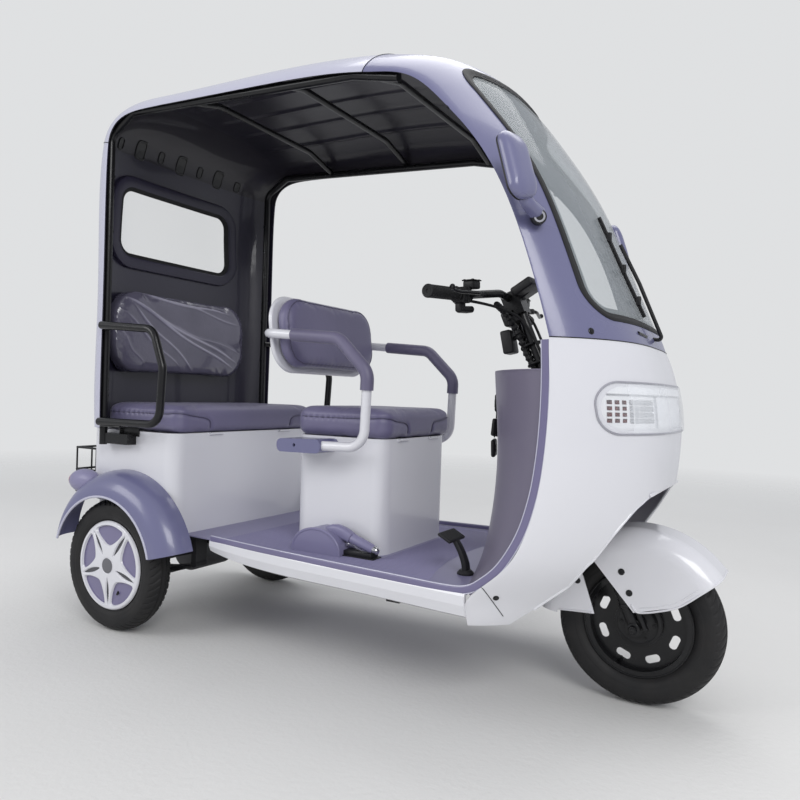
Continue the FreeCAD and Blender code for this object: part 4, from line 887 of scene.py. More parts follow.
def crease_height(y, z):
    """How far the film stands off the leather: long diagonal creases and short end wrinkles."""
    height = np.zeros_like(y)
    for (y0, z0), (y1, z1), tall in film_creases:
        length = math.hypot(y1 - y0, z1 - z0)
        along = ((y - y0) * (y1 - y0) + (z - z0) * (z1 - z0)) / length ** 2
        off = ((y - y0) * (z1 - z0) - (z - z0) * (y1 - y0)) / length + 0.006 * np.sin(along * 9 + y0 * 40)
        fade = np.clip(np.minimum(along, 1 - along) * 6, 0, 1)
        height += tall * fade * np.exp(-(off / 0.0045) ** 2)
    ends = np.clip((np.abs(y) - 0.27) / 0.05, 0, 1)
    return height + 0.0012 * ends * np.maximum(0, np.sin(z * 260 + 5 * np.sin(y * 60)))


film_creases = [((-0.31, 1.11), (0.27, 0.86), 0.0042), ((-0.29, 1.10), (0.30, 0.885), 0.0036),
                ((-0.27, 1.085), (0.05, 0.845), 0.0030), ((-0.30, 1.125), (0.25, 1.085), 0.0034),
                ((-0.22, 1.128), (0.31, 1.05), 0.0024), ((-0.31, 1.06), (-0.02, 0.85), 0.0022),
                ((-0.12, 1.03), (0.32, 0.93), 0.0018), ((-0.315, 1.0), (-0.2, 0.86), 0.0016)]
made_finer(passenger_back_pad)
cloud = np.array([v.co[:] for v in passenger_back_pad.data.vertices])
facing = np.array([v.normal[:] for v in passenger_back_pad.data.vertices])
lift = crease_height(cloud[:, 1], cloud[:, 2]) * np.clip(facing[:, 0], 0, 1)
cloud += facing * lift[:, None]
passenger_back_pad.data.vertices.foreach_set("co", cloud.astype(np.float32).ravel())
crease = passenger_back_pad.data.attributes.new("crease", "FLOAT", "POINT")
crease.data.foreach_set("value", (lift * 1000).astype(np.float32))
passenger_back_pad.data.update()
# Painted highlight: the raised creases are coloured paler where the glossy film catches the light.
mix_by_attribute(film_leather, "crease", (0.30, 0.29, 0.37), (0.8, 3.2))
print("backrest faces:", len(passenger_back_pad.data.polygons), "tallest crease mm:",
      round(float(lift.max()) * 1000, 1))

# %% [markdown]
# ## Lining under the roof
# Thin sheet is stiffened with pressed beads, here five that run lengthwise under the roof. The sheet
# follows the roof at a small distance, so each of its points comes from a ray sent straight up. At
# the back, where the roof bends down to the rear panel, a row of slots lets the heat out. Each slot
# is a flat black patch with a thin rim: painted shade in place of the dark inside of the vent.

# %% Ribbed lining and slots
roof_skin, rear_panel_skin = surface_of("roof_panel"), surface_of("rear_panel")
bead_lines = np.array([-0.26, -0.13, 0.0, 0.13, 0.26])
lining_x, lining_y = np.linspace(-0.70, 0.22, 60), np.linspace(-0.345, 0.345, 173)


def lining_rows(offset):
    """Rows of points below the roof; the beads fade out toward both ends."""
    rows = []
    for x in lining_x:
        fade = min(1.0, max(0.0, (x - lining_x[0] - 0.03) / 0.05))
        fade *= min(1.0, max(0.0, (lining_x[-1] - 0.03 - x) / 0.05))
        for y in lining_y:
            hit = roof_skin.ray_cast(Vector((x, y, 1.3)), Vector((0, 0, 1)))[0]
            bead = 0.007 * fade * math.exp(-(np.min(np.abs(bead_lines - y)) / 0.009) ** 2)
            rows.append((x, y, hit.z - offset - bead))
    return rows


under = lining_rows(0.0022)
sheet = [(x, y, z + 0.0014) for x, y, z in under]
roof_lining = finish("roof_lining", (0.017, 0.015, 0.024), (0.012, 0.011, 0.018), rough=0.38, mottle=2.5,
                     grain=300, depth=0.0004)
add_piece("roof_lining_sheet", under + sheet, plate_faces(len(lining_x), len(lining_y)), roof_lining,
          "panel_purple", "chassis")


def slot_patch(y, half, rise, level):
    """A rounded slot of painted shade with a thin rim, laid on the bend between roof and rear panel."""
    points = []
    for ring, lift in ((1.0, 0.0004), (0.94, 0.003), (0.82, 0.0034), (0.76, 0.0012), (0.0, 0.0008)):
        for a in circle(28):
            across = half * ring * math.copysign(abs(math.cos(a)) ** 0.45, math.cos(a))
            up = rise * ring * math.copysign(abs(math.sin(a)) ** 0.45, math.sin(a))
            start = Vector((-0.62, y + across, 1.52))
            turn = math.radians(level) + up / 0.27
            casts = [skin.ray_cast(start, Vector((-math.cos(turn), 0, math.sin(turn))))
                     for skin in (roof_skin, rear_panel_skin)]
            hit, normal, _, _ = min((c for c in casts if c[0]), key=lambda c: c[3])
            toward = -normal if normal.dot(hit - start) > 0 else normal
            points.append(hit + toward * lift)
    return points, grid_faces(5, 28, wrap_columns=True)


slots = [slot_patch(-0.29 + 0.0967 * i, 0.024 if i % 2 else 0.014, 0.036 if i % 2 else 0.022, 26)
         for i in range(7)]
# Near-black painted shade that stands in for the inside of each vent; the same black also draws the dark
# sill joints.
vent_shade_and_joint_black = finish("vent_shade_and_joint_black", (0.006, 0.006, 0.007), (0.009, 0.009, 0.010), rough=0.3, mottle=12,
                    grain=600, depth=0.0002)
add_piece("roof_slots", *merged(slots), vent_shade_and_joint_black, "trim_black", "chassis")
print("lining points:", len(under), "slots:", len(slots))

# %% [markdown]
# ## The headlamp
# A clear band wraps round the nose. Behind it sits a white tray with a bright reflector: small dark
# light cells in three columns at each end, clear facets beside them, and upright flutes in the
# middle. Rays sent from the front give the depth of the clear band, and the lamp's parts are built a
# few millimetres behind it.

# %% Lamp body, cells and flutes
lamp_skin, nose_skin = surface_of("headlamp_lens"), surface_of("nose_panel")
lamp_white = finish("lamp_white", (0.82, 0.83, 0.85), (0.76, 0.77, 0.80), rough=0.16, mottle=20, grain=300,
                    depth=0.0002, coat=0.5)
lamp_silver = finish("lamp_silver", (0.72, 0.73, 0.75), (0.55, 0.56, 0.58), rough=0.14, mottle=60,
                     grain=900, depth=0.0002, metal=0.9)
cell_dark = finish("cell_dark", (0.05, 0.03, 0.035), (0.16, 0.03, 0.03), rough=0.18, mottle=90, grain=900,
                   depth=0.0002, coat=0.4)
paint(lamp_white, "lamp_clear", "headlamp_bowl")
paint(black_enamel, "frame_black", "steering_head")


def lamp_point(y, z, behind):
    """A place behind the clear band, measured along the way in."""
    hit = lamp_skin.ray_cast(Vector((1.4, y, z)), Vector((-1, 0, 0)))
    return hit[0] - Vector((hit[1].x, hit[1].y, 0)).normalized() * behind


def lamp_relief(y, z):
    """How deep the reflector lies behind the band: flutes in the middle, a ledge along the top."""
    flutes = 0.0016 * math.cos(y * 2 * math.pi / 0.013) if abs(y) < 0.158 else 0.0
    ledge = 0.006 * min(1.0, max(0.0, (z - 0.806) / 0.003))
    return 0.0125 + flutes - ledge


def lamp_half(z):
    """Half the lens's width at a height, less a small margin; its ends are rounded."""
    off = max(0.7667 - z, z - 0.7853, 0.0)
    return 0.303 + 0.134 * (z - 0.7667) + math.sqrt(0.0487 ** 2 - off ** 2)


across, upward = np.linspace(-1, 1, 241), np.linspace(0.7245, 0.8275, 35)
lamp_front = [lamp_point(y * lamp_half(z), z, lamp_relief(y * lamp_half(z), z)) for z in upward
              for y in across]
lamp_back = [p - Vector((0.003, 0, 0)) for p in lamp_front]
add_piece("lamp_reflector", lamp_front + lamp_back, plate_faces(len(upward), len(across)), lamp_white,
          "lamp_clear", "chassis")


def lamp_cell(y, z, half_y, half_z, deep=0.0118):
    """One bevelled cell standing on the reflector."""
    points = []
    for share, near in ((1.0, 0.0), (0.8, -0.0012), (0.5, 0.0006)):
        for dy, dz in ((-1, -1), (1, -1), (1, 1), (-1, 1)):
            points.append(lamp_point(y + dy * half_y * share, z + dz * half_z * share, deep + near))
    return points, [(0, 1, 5, 4), (1, 2, 6, 5), (2, 3, 7, 6), (3, 0, 4, 7), (4, 5, 9, 8), (5, 6, 10, 9),
                    (6, 7, 11, 10), (7, 4, 8, 11), (8, 9, 10, 11)]


cell_rows = (0.7475, 0.7615, 0.7755, 0.7895)
dark_cells = [lamp_cell(side * y, z, 0.0058, 0.0046) for side in (-1, 1) for y in (0.335, 0.317, 0.298)
              for z in cell_rows]
clear_cells = [lamp_cell(side * (0.276 - 0.0165 * i), z, 0.0068, 0.0058) for side in (-1, 1)
               for i in range(6) for z in cell_rows]
add_piece("lamp_dark_cells", *merged(dark_cells), cell_dark, "lamp_clear", "chassis", smooth=False)
add_piece("lamp_facets", *merged(clear_cells), lamp_silver, "lamp_clear", "chassis", smooth=False)
dividers = [bar([lamp_point(side * y, z, 0.0115) for z in upward[2:27]], 0.0016, 8) for side in (-1, 1)
            for y in (0.168, 0.174)]
ledge_line = bar([lamp_point(y * 0.34, 0.8055, 0.0112) for y in across[::3]], 0.0011, 8)
add_piece("lamp_dividers", *merged(dividers + [ledge_line]), lamp_silver, "lamp_clear", "chassis")
print("lamp cells:", len(dark_cells), "facets:", len(clear_cells))

# %% [markdown]
# A soft silver bead frames the band where it meets the nose. Its outline is the band's own, so the
# bead is a tube laid along it on the white skin.

# %% Bead round the lamp
lamp_loop = rounded_loop([(-0.352, 0.718), (0.352, 0.718), (0.368, 0.834), (-0.368, 0.834)], 0.0487,
                         stride=0.015)
bead_line = []
for here, way in lamp_loop:
    spot = here + way * 0.0015
    ahead_of = nose_skin.ray_cast(Vector((1.4, spot[0], spot[1])), Vector((-1, 0, 0)))[0]
    near = nose_skin.find_nearest(Vector((ahead_of.x, spot[0], spot[1])))
    bead_line.append(near[0] + near[1] * 0.0012)
bead_silver = finish("bead_silver", (0.42, 0.42, 0.46), (0.36, 0.36, 0.40), rough=0.25, mottle=10,
                     grain=200, depth=0.0002, metal=0.4, coat=0.3)
add_piece("lamp_bead", *bar(bead_line, 0.0026, 10, closed=True), bead_silver, "lamp_clear", "chassis")
print("bead points:", len(bead_line))

# %% [markdown]
# ## The rolled rim of the entrance
# The open side of the cab is framed by a lilac moulding, about as wide as a finger, that runs from
# the floor's edge in one sweep up the leg shield to the windshield frame. Pale beads on both sides of
# it are painted highlights along its rolled edges. One flattened section is carried along the smooth
# line that the nose's rear edge makes.

# %% Entrance rim
def flat_band(line, across, along_y, thick):
    """A soft flat section carried along a line that lies beside the cab."""
    points = []
    for i, here in enumerate(line):
        run = (line[min(i + 1, len(line) - 1)] - line[max(i - 1, 0)]).normalized()
        out = Vector((0, along_y, 0))
        side = run.cross(out).normalized()
        out = side.cross(run).normalized() * (1 if side.cross(run).y * along_y > 0 else -1)
        for a in circle(20):
            c, s = math.cos(a), math.sin(a)
            points.append(here + side * across * math.copysign(abs(c) ** 0.5, c)
                          + out * thick * math.copysign(abs(s) ** 0.6, s))
    return points, grid_faces(len(line), 20, wrap_columns=True) + end_caps(len(line), 20)


entrance_rim = finish("entrance_rim", (0.165, 0.150, 0.265), (0.145, 0.132, 0.240), rough=0.3, mottle=3,
                      grain=400, depth=0.0002, coat=0.25)
rim_route = [(-0.338, 0.3260, 0.3275), (-0.115, 0.3545, 0.3275), (0.148, 0.3795, 0.3275),
             (0.375, 0.3975, 0.3275), (0.50, 0.4065, 0.3275), (0.560, 0.4110, 0.334),
             (0.600, 0.4135, 0.356), (0.6485, 0.4150, 0.402), (0.6935, 0.4155, 0.480),
             (0.7210, 0.4158, 0.570), (0.7345, 0.4160, 0.660), (0.7405, 0.4160, 0.750),
             (0.7415, 0.4160, 0.840), (0.7380, 0.4160, 0.925)]
rim_bits, highlight_bead_bits = [], []
for side in (-1, 1):
    line = flowing([Vector((x, side * y, z)) for x, y, z in rim_route], 10)
    rim_bits.append(flat_band(line, 0.0085, side, 0.0042))
    # The two pale beads beside the band are painted highlights along its rolled edges.
    for shift in (-0.0092, 0.0092):
        moved = []
        for i, here in enumerate(line):
            run = (line[min(i + 1, len(line) - 1)] - line[max(i - 1, 0)]).normalized()
            moved.append(here + run.cross(Vector((0, side, 0))).normalized() * shift
                         + Vector((0, side * 0.0012, 0)))
        highlight_bead_bits.append(bar(moved, 0.0017, 8))
add_piece("entrance_rim_band", *merged(rim_bits), entrance_rim, "panel_lilac", "chassis")
add_piece("entrance_rim_highlight_beads", *merged(highlight_bead_bits), lilac_with_painted_reflection, "panel_lilac", "chassis")
print("entrance rim bits:", len(rim_bits), len(highlight_bead_bits))

# %% [markdown]
# ## Floor
# The floor is one lilac moulding with fine ribs that run lengthwise, so that wet shoes don't slip. A
# smooth border stays free along the edge. Each rib is a low rounded ridge, and all ribs are one piece.

# %% Floor ribs
def rib(x0, x1, y, top=0.3235, half=0.0024, tall=0.0016):
    """A low ridge with tapered ends."""
    points = []
    for x, grow in ((x0, 0.0), (x0 + 0.004, 1.0), (x1 - 0.004, 1.0), (x1, 0.0)):
        points += [(x, y - half, top - 0.0003), (x, y - half * 0.55, top + tall * grow),
                   (x, y + half * 0.55, top + tall * grow), (x, y + half, top - 0.0003)]
    return points, grid_faces(4, 4) + [(0, 1, 2, 3), (15, 14, 13, 12), (0, 4, 8, 12, 15, 11, 7, 3)]


floor_edge_at = lambda x: float(np.interp(x, [-0.3425, -0.1165, 0.1485, 0.3755, 0.5605],
                                          [0.316, 0.345, 0.370, 0.388, 0.404]))
ribs = []
for i in range(-28, 29):
    y = i * 0.0125
    near_box = abs(y) < 0.212
    end = 0.375 + 0.06 * min(1.0, abs(y) / 0.35) ** 2
    spans = [(0.212, end), (-0.32, -0.128)] if near_box else [(-0.32, end)]
    for x0, x1 in spans:
        while abs(y) > floor_edge_at(x0) - 0.032 and x0 < x1:
            x0 += 0.01
        if x1 - x0 > 0.03:
            ribs.append(rib(x0, x1, y))
add_piece("floor_ribs", *merged(ribs), lilac_satin, "floor_lilac", "chassis", sharp=50)
print("ribs:", len(ribs))

# %% [markdown]
# ## Mirrors
# Each mirror is a lilac shell with a rounded back that looks forward, a black rim and a pane that
# looks at the driver. It stands on a lilac foot with a black ball joint. The shell is the workshop's
# outline, scaled down ring by ring while it moves forward, which gives the domed back.

# %% Mirror shells, panes and joints
mirror_place = Vector((0.6785, -0.478, 1.294))
mirror_turn = Matrix.Rotation(math.radians(-17), 3, "Z") @ Matrix.Rotation(math.radians(-18), 3, "Y")
mirror_loop = rounded_loop([(-0.044, -0.086), (0.044, -0.062), (0.040, 0.084), (-0.044, 0.088)], 0.03,
                           stride=0.008)
mirror_middle = Vector((-0.001, 0.006))


def mirror_ring(share, ahead, side):
    """The mirror's outline, scaled about its middle and moved forward."""
    ring = []
    for here, way in mirror_loop:
        flat = mirror_middle + (here - mirror_middle) * share
        spot = mirror_place + mirror_turn @ Vector((ahead, flat[0], flat[1]))
        ring.append(Vector((spot.x, spot.y * (1 if side < 0 else -1), spot.z)))
    return ring


shell_bits, rim_bits, pane_bits, joint_bits, ring_bits = [], [], [], [], []
for side in (-1, 1):
    dome = [(0.97, -0.001), (1.0, 0.001), (1.0, 0.006)]
    dome += [(math.cos(t) ** 0.55, 0.006 + 0.022 * math.sin(t)) for t in np.linspace(0.12, 1.5, 9)]
    rings = [mirror_ring(s, a, side) for s, a in dome]
    count = len(rings[0])
    shell_bits.append(([p for r in rings for p in r], grid_faces(len(rings), count, wrap_columns=True)
                       + end_caps(len(rings), count)))
    edge = [mirror_ring(s, a, side) for s, a in ((0.985, 0.0005), (0.985, -0.0045), (0.95, -0.0055),
                                                 (0.90, -0.0045), (0.885, -0.001), (0.885, 0.0005))]
    rim_bits.append(([p for r in edge for p in r], grid_faces(6, count, wrap_rows=True, wrap_columns=True)))
    pane = [mirror_ring(s, a, side) for s, a in ((0.895, -0.0008), (0.895, -0.0022), (0.6, -0.0027),
                                                 (0.2, -0.0029))]
    pane_bits.append(([p for r in pane for p in r], grid_faces(len(pane), count, wrap_columns=True)
                      + end_caps(len(pane), count)))
    joint = Vector((0.7065, side * 0.400, 1.204))
    out = Vector((0.45, side * 0.85, -0.12))
    joint_bits.append(turned([(0.0155, -0.018), (0.0175, -0.012), (0.0175, 0.012), (0.0165, 0.0175),
                              (0.013, 0.019)], joint, out, 28))
    joint_bits.append(turned([(0.0062, 0.016), (0.0062, 0.0205), (0.002, 0.0205)], joint, out, 20))
    ring_bits.append(turned([(0.0128, 0.017), (0.0128, 0.0205), (0.0085, 0.0205), (0.0085, 0.0175),
                             (0.001, 0.0175)], joint, out, 28))
    neck = flowing([(0.706, side * 0.400, 1.212), (0.702, side * 0.43, 1.218), (0.698, side * 0.458, 1.228),
                    (0.690, side * 0.470, 1.245)], 6)
    shell_bits.append(bar(neck, [0.018 - 0.0002 * i for i in range(len(neck))], 16))
mirror_shell = add_piece("mirror_shells", *merged(shell_bits), lilac_gloss, "panel_lilac", "chassis",
                         sharp=60)
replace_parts(mirror_shell, "mirrors")
mirror_glass = finish("mirror_glass", (0.78, 0.80, 0.80), (0.74, 0.76, 0.77), rough=0.04, rough_spread=0.02,
                      mottle=3, grain=50, depth=0.00002, metal=0.95)
add_piece("mirror_rims", *merged(rim_bits), black_trim, "trim_black", "chassis")
add_piece("mirror_panes", *merged(pane_bits), mirror_glass, "trim_black", "chassis")
add_piece("mirror_joints", *merged(joint_bits), black_trim, "trim_black", "chassis")
add_piece("mirror_joint_rings", *merged(ring_bits), bead_silver, "trim_black", "chassis")
print("mirror outline points:", len(mirror_loop))

# %% [markdown]
# ## Lips of the mudguards and of the nose
# Moulded guards are rolled at the edge, which makes them stiff and kind to hands. A tube of the same
# plastic follows each edge. The nose's arch is where its bows cross the slanted line of the cut-out.

# %% Rolled lips
arch_x = [0.5975, 0.6825, 0.7685, 0.8405, 0.9005, 0.9385, 1.0075]
arch_z = [0.205, 0.275, 0.346, 0.438, 0.530, 0.572, 0.590]
nose_z = [0.244, 0.29, 0.34, 0.4, 0.48, 0.57, 0.66, 0.75, 0.84, 0.931]
nose_front = [0.7525, 0.8025, 0.8525, 0.8965, 0.9325, 0.9485, 0.9555, 0.9545, 0.9375, 0.9035]
nose_flat = [2.4, 2.4, 2.4, 2.4, 2.5, 2.7, 2.9, 3.0, 3.1, 3.2]
nose_edge = [0.5525, 0.5565, 0.5945, 0.6605, 0.7055, 0.7315, 0.7445, 0.7505, 0.7515, 0.7475]
nose_half = [0.394, 0.41, 0.418, 0.42, 0.42, 0.42, 0.42, 0.42, 0.42, 0.42]
arch_points = []
for z in np.linspace(0.285, 0.588, 90):
    front, edge, half, flat = (float(np.interp(z, nose_z, values))
                               for values in (nose_front, nose_edge, nose_half, nose_flat))
    rise = (float(np.interp(z, arch_z, arch_x)) - edge) / (front - edge)
    if 0.0 < rise < 1.0:
        arch_points.append((float(np.interp(z, arch_z, arch_x)), -half * (1 - rise ** 1.25) ** (1 / flat),
                            z))
arch_line = arch_points + [(x, -y, z) for x, y, z in reversed(arch_points)]
arch_line = [nose_skin.find_nearest(Vector(p)) for p in arch_line]
arch_line = flowing([hit - normal * 0.0005 for hit, normal, _, _ in arch_line][::3], 4)
add_piece("nose_arch_lip", *bar(arch_line, 0.0042, 10), white_gloss, "body_white", "chassis")
for side, body in ((-1, "right"), (1, "left")):
    lip = [(rear_x + 0.2245 * math.cos(a), side * 0.4565, wheel_radius + 0.2245 * math.sin(a))
           for a in np.radians(np.linspace(14.5, 162.5, 70))]
    # The fender lips use the paler lilac, a painted highlight along each rolled edge, on top of the fenders'
    # own lilac.
    add_piece("fender_lip_" + body, *bar(lip, 0.0040, 10), lilac_with_painted_reflection, "fender_lilac", "chassis")
print("arch lip points:", len(arch_line))

# %% [markdown]
# The front guard carries a second line a little above its edge, and three black screws hold it to
# the fork. It turns with the fork, so all of these ride on the steering.

# %% Front guard
guard_half, guard_round = 0.097, 0.055


def guard_point(x, z, side):
    """A place on the guard's outside, from the hub; its shoulder is rounded."""
    beyond = max(0.0, min(0.0549, math.hypot(x, z) - 0.200))
    half = guard_half - guard_round + math.sqrt(guard_round ** 2 - beyond ** 2)
    return Vector((front_x + x, side * half, wheel_radius + z))


guard_lines = []
lower = [(-0.004, 0.066), (0.006, 0.052), (0.020, 0.049), (0.060, 0.059), (0.110, 0.079), (0.155, 0.1145),
         (0.190, 0.1425), (0.200, 0.151)]
tip = [Vector((front_x + 0.2035, y, wheel_radius + 0.1540)) for y in (-0.040, 0.0, 0.040)]
guard_lines.append(bar(flowing([guard_point(x, z, -1) for x, z in lower] + tip
                               + [guard_point(x, z, 1) for x, z in reversed(lower)], 8), 0.0026, 8))
for side in (-1, 1):
    upper = [(x - 0.004, z + 0.011) for x, z in lower[2:7]]
    guard_lines.append(bar(flowing([guard_point(x, z, side) for x, z in upper], 8), 0.0013, 8))
    back = [(-0.104, 0.030), (-0.150, 0.0255), (-0.190, 0.022)]
    guard_lines.append(bar(flowing([guard_point(x, z, side) for x, z in back], 8), 0.0022, 8))
add_piece("front_guard_lips", *merged(guard_lines), white_gloss, "body_white", "steering")
screw_places = [(-0.031, 0.145), (-0.010, 0.094), (-0.143, 0.106)]
screw_profile = [(0.0085, -0.0015), (0.0085, 0.0008), (0.0072, 0.0022), (0.003, 0.0026), (0.002, 0.0012)]
guard_screws = [turned(screw_profile, (front_x + x, side * guard_half, wheel_radius + z), (0, side, 0), 20)
                for side in (-1, 1) for x, z in screw_places]
add_piece("front_guard_screws", *merged(guard_screws), black_trim, "trim_black", "steering")
print("guard lines:", len(guard_lines), "screws:", len(guard_screws))

# %% [markdown]
# ## Handlebar
# A bar end carries, from the tip inward: a ribbed rubber grip with a flange, a switch housing with
# small keys, and the clamp of the brake lever, whose blade ends in a ball so that it can't hurt. To
# build them square to the bent bar, each part is drawn in a small frame of its own: out along the
# bar, forward, and up.

# %% Frames of the bar ends
bar_top = Vector((0.51488, 0.0, 1.062))
rake = math.radians(23.4)
stem_foot, stem_way = Vector(front_hub), Vector((-math.sin(rake), 0, math.cos(rake)))
stem_ahead = Vector((math.cos(rake), 0, math.sin(rake)))


def bar_place(ahead, y, z):
    """A place measured from the middle of the handlebar."""
    return bar_top + Vector((ahead, y, z))


def on_stem(ahead, y, along):
    """A place beside the raked stem, measured from the front hub."""
    return stem_foot + stem_way * along + stem_ahead * ahead + Vector((0, y, 0))


def bar_frame(side):
    """The bar's tip, the way out along it, and a matrix for (forward, outward, up)."""
    tip, bend = bar_place(-0.100, side * 0.372, -0.008), bar_place(-0.072, side * 0.205, 0.002)
    out = (tip - bend).normalized()
    up = (Vector((0, 0, 1)) - out * out.z).normalized()
    forward = up.cross(out) if up.cross(out).x > 0 else out.cross(up)
    return tip, out, Matrix((forward, out, up)).transposed()


grip_profile = [(0.0150, 0.0), (0.0205, 0.0002), (0.0212, 0.0015), (0.0205, 0.0028), (0.0172, 0.0034)]
for i in range(16):
    start = 0.0050 + i * 0.0068
    grip_profile += [(0.0172, start), (0.0172, start + 0.0046), (0.0158, start + 0.0053),
                     (0.0158, start + 0.0062)]
grip_profile += [(0.0172, 0.1142), (0.0178, 0.1175), (0.0178, 0.1225), (0.0166, 0.1250), (0.0125, 0.1254),
                 (0.0105, 0.1236), (0.0055, 0.1236), (0.0040, 0.1205), (0.0005, 0.1203)]
grip_bits, switch_bits, lever_bits, key_bits = [], [], [], []
for side in (-1, 1):
    tip, out, turn = bar_frame(side)
    grip_bits.append(turned(grip_profile, tip - out * 0.1208, out, 28))
    inner = tip - out * 0.150
    switch_bits.append(block((-0.021, -0.019, -0.022), (0.021, 0.019, 0.020), 0.006, turn, inner, 3))
    switch_bits.append(block((-0.024, -0.002, -0.0235), (0.0235, 0.0015, 0.0215), 0.0005, turn, inner, 1))
    switch_bits.append(block((-0.018, -0.015, -0.046), (0.004, 0.010, -0.018), 0.006, turn, inner, 3))
    spout = ((-0.006, 0.006, -0.038), (-0.006, -0.030, -0.038), (-0.004, -0.052, -0.036))
    switch_bits.append(bar([inner + turn @ Vector(p) for p in spout], [0.0105, 0.0100, 0.0092], 16))
    clamp = tip - out * 0.176
    switch_bits.append(turned([(0.0125, -0.007), (0.0165, -0.007), (0.0172, -0.005), (0.0172, 0.005),
                               (0.0165, 0.007), (0.0125, 0.007)], clamp, out, 24))
    switch_bits.append(block((0.010, -0.009, -0.007), (0.048, 0.010, 0.009), 0.004, turn, clamp, 2))
    switch_bits.append(block((-0.004, -0.020, 0.016), (0.030, 0.018, 0.038), 0.005, turn, clamp, 3))
    switch_bits.append(block((-0.006, -0.022, 0.037), (0.032, 0.020, 0.0405), 0.0015, turn, clamp, 1))
    switch_bits += [bolt(clamp + turn @ Vector((a, b, 0.040)), turn @ Vector((0, 0, 1)), 0.0024)
                    for a in (0.0, 0.026) for b in (-0.016, 0.014)]
    bend = ((0.040, 0.0, 0.001), (0.050, 0.022, 0.002), (0.050, 0.060, 0.001), (0.047, 0.100, 0.0),
            (0.045, 0.126, 0.004), (0.047, 0.137, 0.010))
    blade = flowing([clamp + turn @ Vector(p) for p in bend], 8)
    lever_bits.append(bar(blade, [0.0058 - 0.0017 * min(1.0, i / (len(blade) - 1))
                                  for i in range(len(blade))], 12))
    lever_bits.append(turned([(0.0008, -0.0078), (0.0052, -0.0058), (0.0078, 0.0), (0.0052, 0.0058),
                              (0.0008, 0.0078)], blade[-1], (0.2, 0, 1), 18))
    for a, b, c in ((-0.0225, -0.008, 0.008), (-0.0225, 0.006, 0.008), (-0.0225, -0.001, -0.006)):
        key_bits.append(block((a - 0.0015, b - 0.0045, c - 0.003), (a + 0.002, b + 0.0045, c + 0.003),
                              0.001, turn, inner, 2))
grips = add_piece("ribbed_grips", *merged(grip_bits), soft_rubber, "grip_rubber", "steering", sharp=50)
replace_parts(grips, "grips")
print("grip points:", len(grips.data.vertices))

# %% [markdown]
# Between the two ends sit the display, tilted toward the driver, and behind the stem a black relay
# case with its bracket. The keys of the switches are a little greyer than their housings.

# %% Display, relay case, levers
display_turn = Matrix.Rotation(math.radians(-32), 3, "Y")
display_place = bar_place(0.032, 0, 0.034)
switch_bits.append(block((-0.034, -0.052, 0.0), (0.034, 0.052, 0.026), 0.007, display_turn, display_place,
                         3))
switch_bits.append(bar([bar_place(0.006, 0, 0.024), bar_place(0.018, 0, 0.033), bar_place(0.030, 0, 0.044)],
                       0.0095, 14))
switch_bits.append(block((-0.016, -0.026, -0.034), (0.016, 0.026, 0.034), 0.006,
                         Matrix.Rotation(math.radians(-12), 3, "Y"), (0.4935, -0.006, 0.952), 3))
switch_bits.append(bar(flowing([(0.505, -0.004, 0.962), (0.528, -0.003, 0.972), (0.5545, -0.002, 0.966)],
                               6), 0.0065, 12))
switch_bits.append(block((-0.028, -0.030, -0.012), (0.020, 0.030, 0.030), 0.006,
                         Matrix.Rotation(-rake, 3, "Y"), bar_place(-0.008, 0, -0.046), 2))
controls = add_piece("switch_housings", *merged(switch_bits), black_trim, "trim_black", "steering",
                     sharp=45)
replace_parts(controls, "hand_controls")
add_piece("brake_levers", *merged(lever_bits), black_enamel, "trim_black", "steering")
key_grey = finish("key_grey", (0.10, 0.10, 0.105), (0.075, 0.075, 0.08), rough=0.45, mottle=40, grain=800,
                  depth=0.0002)
add_piece("switch_keys", *merged(key_bits), key_grey, "trim_black", "steering", sharp=45)
screen_glass = finish("screen_glass", (0.022, 0.026, 0.030), (0.016, 0.019, 0.022), rough=0.07, mottle=10,
                      grain=60, depth=0.00005, coat=0.6)
screen = block((-0.025, -0.042, 0.0258), (0.025, 0.042, 0.0272), 0.0012, display_turn, display_place, 2)
add_piece("display_screen", *screen, screen_glass, "trim_black", "steering", sharp=45)
print("controls faces:", len(controls.data.polygons))

# %% [markdown]
# ## Control cables
# A brake cable leaves each switch housing, sags toward the stem and drops through the hole in the
# cap. It is a stiff wire in a black sleeve, so it takes one smooth curve: a NURBS spline with the
# workshop's route as its control points.

# %% Cables
def cable_route(side):
    """The workshop's route of one cable, from the switch housing to the cap."""
    tip, out, _ = bar_frame(side)
    bar_along = (0.856 + 0.206 - 0.2125) / math.cos(rake)
    return [tip - out * 0.173 - Vector((0, 0, 0.014)), bar_place(0.006, side * 0.074, -0.018),
            on_stem(0.020, side * 0.023, bar_along - 0.110),
            on_stem(0.020, side * 0.020, (0.835 - 0.2125) / math.cos(rake))]


for side, word in ((-1, "right"), (1, "left")):
    line = bpy.data.curves.new("brake_cable_" + word, "CURVE")
    line.dimensions = "3D"
    spline = line.splines.new("NURBS")
    route = cable_route(side)
    spline.points.add(len(route) - 1)
    for point, place in zip(spline.points, route):
        point.co = (*place, 1)
    spline.order_u, spline.use_endpoint_u, spline.resolution_u = 3, True, 24
    cable = bpy.data.objects.new("brake_cable_" + word, line)
    bpy.context.scene.collection.objects.link(cable)
    bare = bpy.data.meshes.new_from_object(cable.evaluated_get(bpy.context.evaluated_depsgraph_get()))
    spots = [v.co for v in bare.vertices]
    reach = sum((b - a).length for a, b in zip(spots, spots[1:]))
    line.bevel_depth, line.bevel_resolution, line.use_fill_caps = 0.004, 4, True
    line.materials.append(soft_rubber)
    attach(cable, "steering")
    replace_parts(cable, "control_cables")
    print(line.name, "length", round(reach, 3))

# %% [markdown]
# ## Front wheel and fork
# The fork's legs are plain black tubes. Beside each runs a thin damper, and at the axle there are a
# big washer, a nut and the end of the axle's thread. The rim gets the ridges that a press leaves
# round its hub, a valve, and the nuts of the brake drum.

